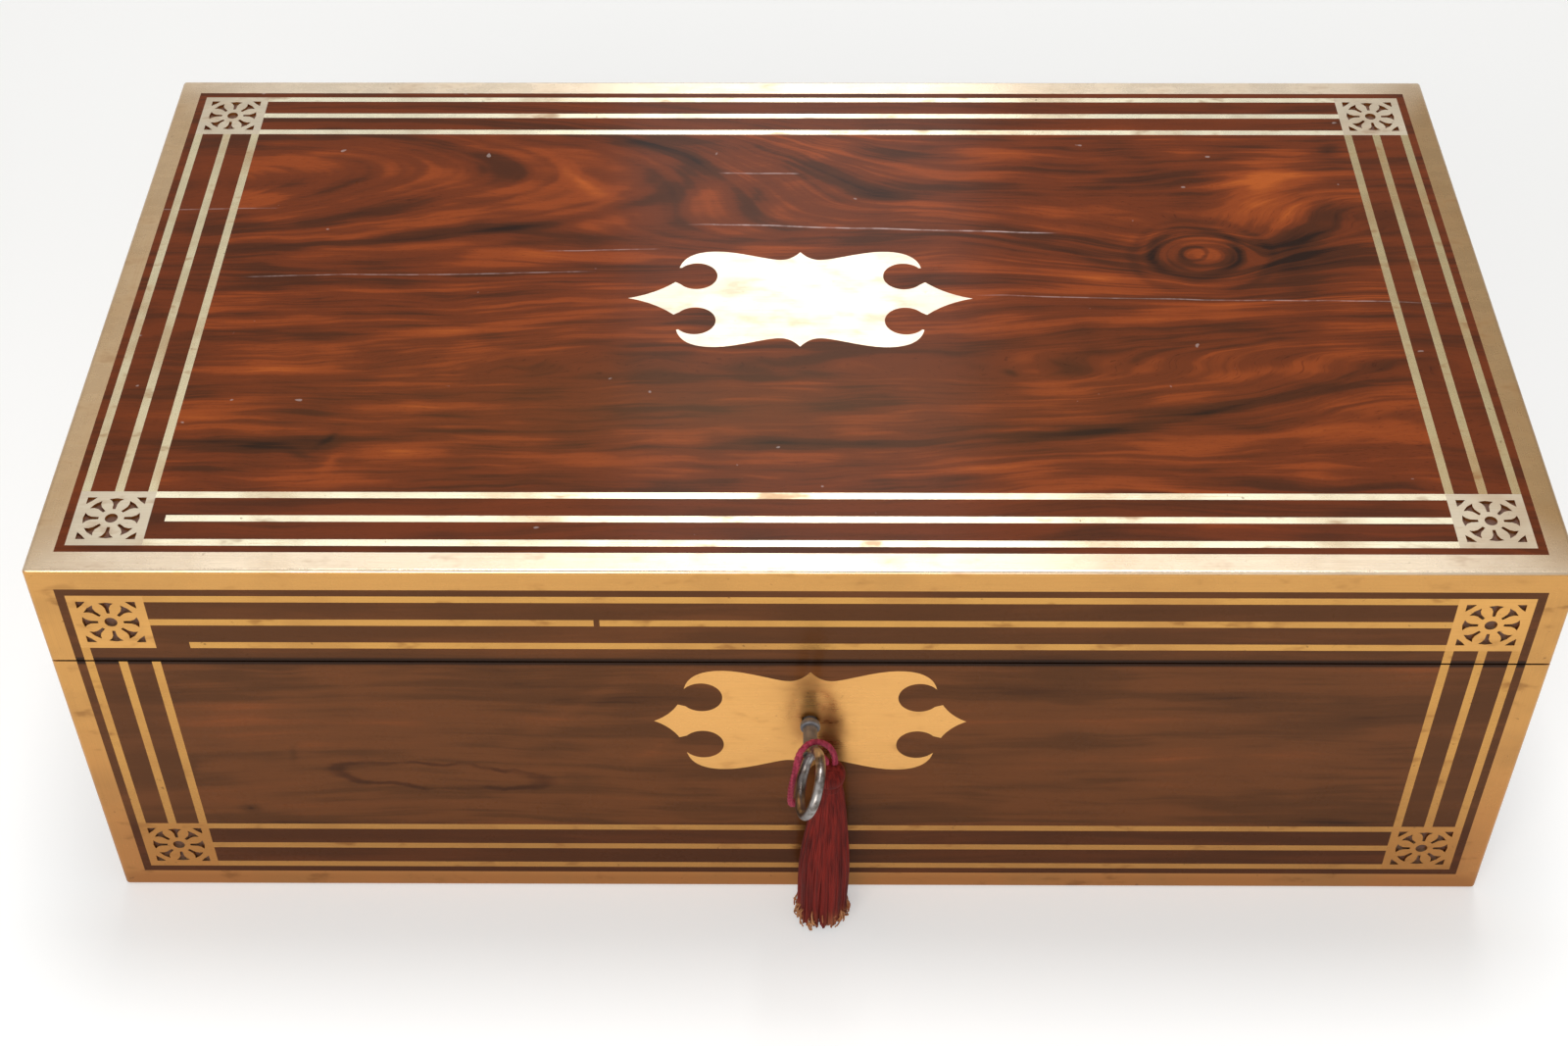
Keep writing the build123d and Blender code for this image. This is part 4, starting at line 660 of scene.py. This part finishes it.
def silk(name, dark, light, shine=0.12, tip=None):
    """Shiny silk, each thread its own shade, worn to another colour near the floor if tip is given."""
    g = surface(name)
    tint = g.noise(g.vmath("MULTIPLY", g.millimetres, (1.1, 1.1, 0.02)), 1.0, 2.0, 0.6)
    slow = g.noise(g.vmath("MULTIPLY", g.millimetres, (0.3, 0.3, 0.05)), 1.0, 2.0, 0.6)
    base = g.mix(g.smooth(g.add(g.times(tint, 0.7), g.times(slow, 0.3)), 0.34, 0.64), dark, light)
    twist = g.node("ShaderNodeTexWave", bands_direction="DIAGONAL")
    g.feed(twist.inputs["Vector"], g.millimetres)
    g.feed(twist.inputs["Scale"], 1.6)
    g.feed(twist.inputs["Distortion"], 1.5)
    base = g.mix(g.times(twist.outputs["Fac"], 0.25), base, dark)
    if tip is not None:
        _, _, z = g.parts(g.millimetres)
        worn = g.times(g.smooth(z, 11.0, 2.0), g.smooth(slow, 0.4, 0.6))
        base = g.mix(g.times(worn, 0.8), base, tip)
    g.set(Base_Color=base, Roughness=g.add(0.5, g.times(tint, 0.2)), Specular_IOR_Level=shine,
          Sheen_Weight=0.03, Sheen_Roughness=0.4)
    g.bump(twist.outputs["Fac"], 0.00012, 0.5)
    return g.material


tassel_silk = silk("tassel_silk", colour(86, 22, 18), colour(140, 42, 34), tip=colour(168, 104, 70))
cord_silk = silk("cord_silk", colour(122, 28, 50), colour(190, 66, 92), 0.25)
frayed_silk = silk("frayed_silk", colour(160, 90, 58), colour(214, 160, 112))


# The cord loop: over the key's neck, down in a slack bight and back to the tassel
LOOP_Y = -121.4
LOOP_ROUTE = [
    (9.9, LOOP_Y, 69.7), (9.9, LOOP_Y, 73.4), (7.7, -121.6, 78.2), (3.6, -122.5, 80.8),
    (-0.2, -125.0, 78.8), (-1.0, -127.2, 74.2), (-2.0, -127.6, 68.8), (-2.5, -127.6, 64.0),
    (-2.5, -127.6, 59.4), (-1.4, -125.9, 57.2), (0.2, -123.1, 57.2), (1.3, LOOP_Y, 59.4),
    (1.0, LOOP_Y, 63.6), (0.6, LOOP_Y, 67.6), (0.4, LOOP_Y, 71.2), (2.5, LOOP_Y, 73.3),
    (5.5, LOOP_Y, 73.3), (7.6, LOOP_Y, 71.2), (7.6, LOOP_Y, 69.7),
]
CORE_RADIUS = 0.00078
PLIES, PLY_RADIUS, PLY_OFFSET, PLY_PITCH = 3, 0.00042, 0.0005, 0.0042
PLY_STEP = 0.00035

curve = bpy.data.curves.new("cord_loop", "CURVE")
curve.dimensions = "3D"
spline = curve.splines.new("NURBS")
spline.points.add(len(LOOP_ROUTE) - 1)
for point, (x, y, z) in zip(spline.points, LOOP_ROUTE):
    point.co = (x * MM, y * MM, z * MM, 1)
spline.order_u = 3
spline.use_endpoint_u = True
spline.resolution_u = 12
cord_loop = added("cord_loop", curve)

line_mesh = bpy.data.meshes.new_from_object(cord_loop)
line_points = [vertex.co.copy() for vertex in line_mesh.vertices]
bpy.data.meshes.remove(line_mesh)
curve.bevel_depth = CORE_RADIUS
curve.bevel_resolution = 3
curve.use_fill_caps = True
curve.materials.append(cord_silk)


def bundle(name, paths, radius, material, body, sides=1):
    """Many thin threads as one curve object."""
    data = bpy.data.curves.new(name, "CURVE")
    data.dimensions = "3D"
    data.bevel_depth = radius
    data.bevel_resolution = sides
    data.use_fill_caps = True
    for path in paths:
        thread = data.splines.new("POLY")
        thread.points.add(len(path) - 1)
        for point, place in zip(thread.points, path):
            point.co = (*place, 1)
        thread.use_smooth = True
    data.materials.append(material)
    obj = added(name, data)
    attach(obj, body)
    return obj


def twisted(points, count, radius, pitch):
    """Helical plies round a smooth line, which never runs along y."""
    strands = []
    for strand in range(count):
        path = []
        run = 0.0
        for index, point in enumerate(points):
            before = points[max(index - 1, 0)]
            after = points[min(index + 1, len(points) - 1)]
            along = (after - before).normalized()
            if index:
                run += (point - points[index - 1]).length
            other = along.cross(Vector((0, 1, 0))).normalized()
            side = other.cross(along)
            angle = 2 * math.pi * (run / pitch + strand / count)
            path.append(point + radius * (math.cos(angle) * side + math.sin(angle) * other))
        strands.append(path)
    return strands


def resample(points, step):
    """Points at even steps along a line of many short runs."""
    out = [points[0]]
    left = step
    for start, stop in zip(points, points[1:]):
        run = (stop - start).length
        while run >= left:
            start = start.lerp(stop, left / run)
            out.append(start)
            run = (stop - start).length
            left = step
        left -= run
    return out


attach(cord_loop, "cord_loop")
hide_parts("tassel_cord_loop")
ply_paths = twisted(resample(line_points, PLY_STEP), PLIES, PLY_OFFSET, PLY_PITCH)
cord_plies = bundle("cord_plies", ply_paths, PLY_RADIUS, cord_silk, "cord_loop", 2)

# The tassel: a ball of folded strands, bound at the neck, over a long skirt. Its points, the head's
# radius and the radii of threads are in metres, other lengths in millimetres.
HEAD = Vector((8.6, -121.4, 65.0)) * MM
HEAD_RADIUS = 4.3 * MM
HEAD_THREADS, HEAD_STEPS, HEAD_THREAD_RADIUS = 54, 10, 0.00024
NECK_TURNS, NECK_STEPS, NECK_RADIUS = 6, 28, 3.42
NECK_TOP, NECK_DROP, NECK_THREAD_RADIUS = 62.9, 2.6, 0.0003
SKIRT_TOP, SKIRT_LENGTH = 62.0, 61.0
SKIRT_FOOT = Vector((6.6, -122.4, 0.9)) * MM
# Width of the skirt against its share of the length, and its depth against its width
SWELL = [(0.0, 0.78), (0.14, 1.0), (0.55, 1.18), (1.0, 1.0)]
FLATNESS = 0.85
LOCKS = 9
OUTER_THREADS, OUTER_THREAD_RADIUS = 420, 0.0003
INNER_THREADS, INNER_THREAD_RADIUS = 160, 0.00028
THREAD_STEPS = 9
FRAYED_THREADS, FRAYED_STEPS, FRAYED_THREAD_RADIUS = 90, 7, 0.00022
# No loose end goes further back than this, clear of the bottom edging, nor nearer to the floor
FRAYED_BACK, FRAYED_LOW = -116.3, 0.5
CORE_AROUND, CORE_LEVELS = 54, 14
BALL_AROUND, BALL_LEVELS = 36, 16
rng = random.Random(7)


def swell(share):
    for (s0, v0), (s1, v1) in zip(SWELL, SWELL[1:]):
        if share <= s1:
            t = (share - s0) / (s1 - s0)
            t = t * t * (3 - 2 * t)
            return v0 + (v1 - v0) * t
    return SWELL[-1][1]


def skirt_radius(share):
    return (4.6 + 2.8 * share) * swell(share) * MM


def skirt_axis(share):
    top = Vector((HEAD.x, HEAD.y, SKIRT_TOP * MM))
    return top.lerp(SKIRT_FOOT, share)


def round_skirt(share, reach, angle):
    """The point at an angle round the skirt's axis."""
    return skirt_axis(share) + Vector((reach * math.cos(angle), FLATNESS * reach * math.sin(angle), 0))


def head_threads():
    """Strands folded over the ball, from its crown to its neck."""
    paths = []
    for index in range(HEAD_THREADS):
        angle = 2 * math.pi * (index + rng.uniform(-0.2, 0.2)) / HEAD_THREADS
        path = []
        for step in range(HEAD_STEPS + 1):
            polar = math.radians(6 + 128 * step / HEAD_STEPS)
            reach = (HEAD_RADIUS - 0.2 * MM) * math.sin(polar)
            height = HEAD_RADIUS * math.cos(polar)
            path.append(HEAD + Vector((reach * math.cos(angle), reach * math.sin(angle), height)))
        paths.append(path)
    return paths


def neck_winding():
    """One thread wound round the neck."""
    path = []
    steps = NECK_TURNS * NECK_STEPS
    for step in range(steps + 1):
        share = step / steps
        angle = 2 * math.pi * NECK_TURNS * share
        reach = (NECK_RADIUS + 0.12 * math.sin(3 * angle)) * MM
        height = (NECK_TOP - NECK_DROP * share) * MM
        centre = skirt_axis(max(0.0, (SKIRT_TOP - height / MM) / SKIRT_LENGTH))
        x, y = centre.x + reach * math.cos(angle), centre.y + 0.92 * reach * math.sin(angle)
        path.append(Vector((x, y, height)))
    return [path]


def skirt_threads(count, inner, outer, shortest):
    """Hanging threads between two shares of the skirt's radius."""
    paths = []
    for _ in range(count):
        angle = 2 * math.pi * rng.random()
        depth = rng.uniform(inner, outer)
        length = rng.uniform(shortest, 1.0)
        sway = rng.uniform(0, 2 * math.pi)
        drift = rng.gauss(0, 0.05)
        path = []
        for step in range(THREAD_STEPS + 1):
            share = length * step / THREAD_STEPS
            turned = angle + drift * share * 2 + 0.05 * math.sin(5 * share + sway)
            reach = skirt_radius(share) * (depth * (0.82 + 0.18 * min(1, 4 * share)))
            lock = 1 - 0.07 * (0.5 + 0.5 * math.cos(LOCKS * turned)) * min(1, 3 * share)
            path.append(round_skirt(share, reach * lock, turned))
        paths.append(path)
    return paths


def frayed_threads(count):
    """Loose ends that curl out of the skirt near its foot."""
    paths = []
    for index in range(count):
        side = rng.choice((0.0, math.pi)) + rng.gauss(0, 0.8)
        start = rng.uniform(0.86, 0.95)
        run = rng.uniform(0.03, 0.075)
        lift = rng.uniform(0.98, 1.16)
        curl = rng.uniform(-0.35, 0.35)
        path = []
        for step in range(FRAYED_STEPS + 1):
            t = step / FRAYED_STEPS
            share = min(start + run * t, 0.988)
            reach = skirt_radius(share) * (0.9 + (lift - 0.9) * math.sin(t * 1.9))
            end = round_skirt(share, reach, side + curl * t * t)
            end.y = min(end.y, FRAYED_BACK * MM)
            end.z = max(end.z + 0.6 * MM * math.sin(4 * t + index), FRAYED_LOW * MM)
            path.append(end)
        paths.append(path)
    return paths


def skinned(name, rings, body):
    """A closed smooth skin over rings of as many points each."""
    around = len(rings[0])
    faces = []
    for level in range(len(rings) - 1):
        for index in range(around):
            a = level * around + index
            b = level * around + (index + 1) % around
            faces.append((a, a + around, b + around, b))
    faces.append(tuple(range(around)))
    faces.append(tuple(reversed(range((len(rings) - 1) * around, len(rings) * around))))
    mesh = bpy.data.meshes.new(name)
    mesh.from_pydata([point for ring in rings for point in ring], [], faces)
    for polygon in mesh.polygons:
        polygon.use_smooth = True
    mesh.materials.append(tassel_silk)
    obj = added(name, mesh)
    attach(obj, body)
    return obj


def angles(count):
    return [2 * math.pi * index / count for index in range(count)]


def core_rings(scale, last):
    """Fluted rings under the skirt's threads, so that nothing shows through."""
    rings = []
    for level in range(CORE_LEVELS):
        share = last * level / (CORE_LEVELS - 1)
        ring = []
        for angle in angles(CORE_AROUND):
            lock = 1 - 0.06 * (0.5 + 0.5 * math.cos(LOCKS * angle))
            ring.append(round_skirt(share, skirt_radius(share) * scale * lock, angle))
        rings.append(ring)
    return rings


def ball_rings():
    """Rings of the ball under the head's threads."""
    radius = HEAD_RADIUS - 0.25 * MM
    rings = []
    for level in range(BALL_LEVELS + 1):
        polar = math.radians(4 + 132 * level / BALL_LEVELS)
        reach, height = radius * math.sin(polar), radius * math.cos(polar)
        rings.append([HEAD + Vector((reach * math.cos(angle), reach * math.sin(angle), height))
                      for angle in angles(BALL_AROUND)])
    return rings


tassel_ball = skinned("tassel_ball", ball_rings(), "tassel")
tassel_head = bundle("tassel_head_threads", head_threads(), HEAD_THREAD_RADIUS, tassel_silk, "tassel")
tassel_neck = bundle("tassel_neck_winding", neck_winding(), NECK_THREAD_RADIUS, tassel_silk, "tassel", 2)
tassel_core = skinned("tassel_core", core_rings(0.86, 0.93), "tassel")
outer_paths = skirt_threads(OUTER_THREADS, 0.86, 0.99, 0.93)
tassel_threads = bundle("tassel_threads", outer_paths, OUTER_THREAD_RADIUS, tassel_silk, "tassel")
inner_paths = skirt_threads(INNER_THREADS, 0.3, 0.9, 0.9)
tassel_fringe = bundle("tassel_fringe", inner_paths, INNER_THREAD_RADIUS, tassel_silk, "tassel")
frayed_paths = frayed_threads(FRAYED_THREADS)
tassel_frayed = bundle("tassel_frayed_ends", frayed_paths, FRAYED_THREAD_RADIUS, frayed_silk, "tassel")
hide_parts("tassel_head")
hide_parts("tassel_skirt")


# Floor, lights and camera

FLOOR_HALF = 6
FLOOR_NEAR, FLOOR_FAR_SHADE = colour(248, 252, 255), colour(200, 200, 199)
FLOOR_GLOW = 0.375
WORLD_LIGHT = 0.39


def floor():
    """A pale floor, whiter towards the camera and painted darker away from it as shade from the light's
    falloff; its glow is only seen and lights nothing.
    """
    mesh = bpy.data.meshes.new("floor")
    corners = ((-1, -1), (1, -1), (1, 1), (-1, 1))
    mesh.from_pydata([(x * FLOOR_HALF, y * FLOOR_HALF, 0) for x, y in corners], [], [(0, 1, 2, 3)])
    obj = added("floor", mesh)
    obj.location.z = -0.0002
    g = Graph(bpy.data.materials.new("pale_floor"))
    _, depth, _ = g.parts(g.coords["Object"])
    # Painted shade: the floor's colour darkens away from the camera
    g.set(Base_Color=g.mix(g.smooth(depth, -0.5, 0.27), FLOOR_NEAR, FLOOR_FAR_SHADE), Roughness=0.9,
          Specular_IOR_Level=0.0, Emission_Color=(0.97, 0.99, 1, 1),
          Emission_Strength=g.times(g.seen(), FLOOR_GLOW))
    mesh.materials.append(g.material)


def world():
    """A white surround where it is seen, and a weaker one where it only lights."""
    made = bpy.data.worlds.new("studio")
    bpy.context.scene.world = made
    g = Graph(made, "Background")
    _, _, height = g.parts(g.coords["Generated"])
    g.set(Color=(1, 1, 1, 1), Strength=g.blend(g.seen(), WORLD_LIGHT, g.smooth(height, 0.1, 0.5, 1.0, 0.8)))


def lamp(name, place, target, size, power, tint):
    """A rectangular lamp turned to a point."""
    data = bpy.data.lights.new(name, "AREA")
    data.shape = "RECTANGLE"
    data.size, data.size_y = size
    data.energy = power
    data.color = tint
    obj = added(name, data)
    obj.location = place
    obj.rotation_euler = (Vector(target) - Vector(place)).to_track_quat("-Z", "Y").to_euler()


# Solved from the photo's edges: pitch, yaw and roll, focal length in pixels, picture width, place
CAMERA_TURN = (44.81, -0.55, -0.27)
CAMERA_FOCUS, CAMERA_WIDTH = 2363, 1600
CAMERA_PLACE = (0, -0.5298, 0.5692)
SENSOR = 36


def camera():
    pitch, yaw, roll = (math.radians(value) for value in CAMERA_TURN)
    forward = Vector((math.sin(yaw) * math.cos(pitch), math.cos(yaw) * math.cos(pitch), -math.sin(pitch)))
    level = Vector((math.cos(yaw), -math.sin(yaw), 0))
    upright = level.cross(forward)
    right = math.cos(roll) * level + math.sin(roll) * upright
    up = math.cos(roll) * upright - math.sin(roll) * level
    data = bpy.data.cameras.new("camera")
    data.sensor_width = SENSOR
    data.lens = SENSOR * CAMERA_FOCUS / CAMERA_WIDTH
    obj = added("camera", data)
    obj.matrix_world = Matrix.Translation(CAMERA_PLACE) @ Matrix((right, up, -forward)).transposed().to_4x4()
    bpy.context.scene.camera = obj


floor()
world()
lamp("window", (0.0, 0.86, 0.87), (0, 0, 0.136), (0.27, 0.52), 1.05, (1.0, 0.98, 0.95))
lamp("ceiling_strip", (0.0, 0.86, 1.17), (0, -0.1, 0.136), (1.2, 0.14), 0.7, (1.0, 0.97, 0.92))
lamp("front_key", (-0.3, -1.15, 0.75), (0, -0.1, 0.06), (0.9, 0.5), 6.4, (1.0, 0.94, 0.86))
lamp("overhead", (0.05, 0.34, 1.7), (0, 0, 0.1), (0.6, 0.5), 12.2, (1.0, 0.97, 0.94))
camera()
bpy.context.scene.view_settings.view_transform = "Standard"
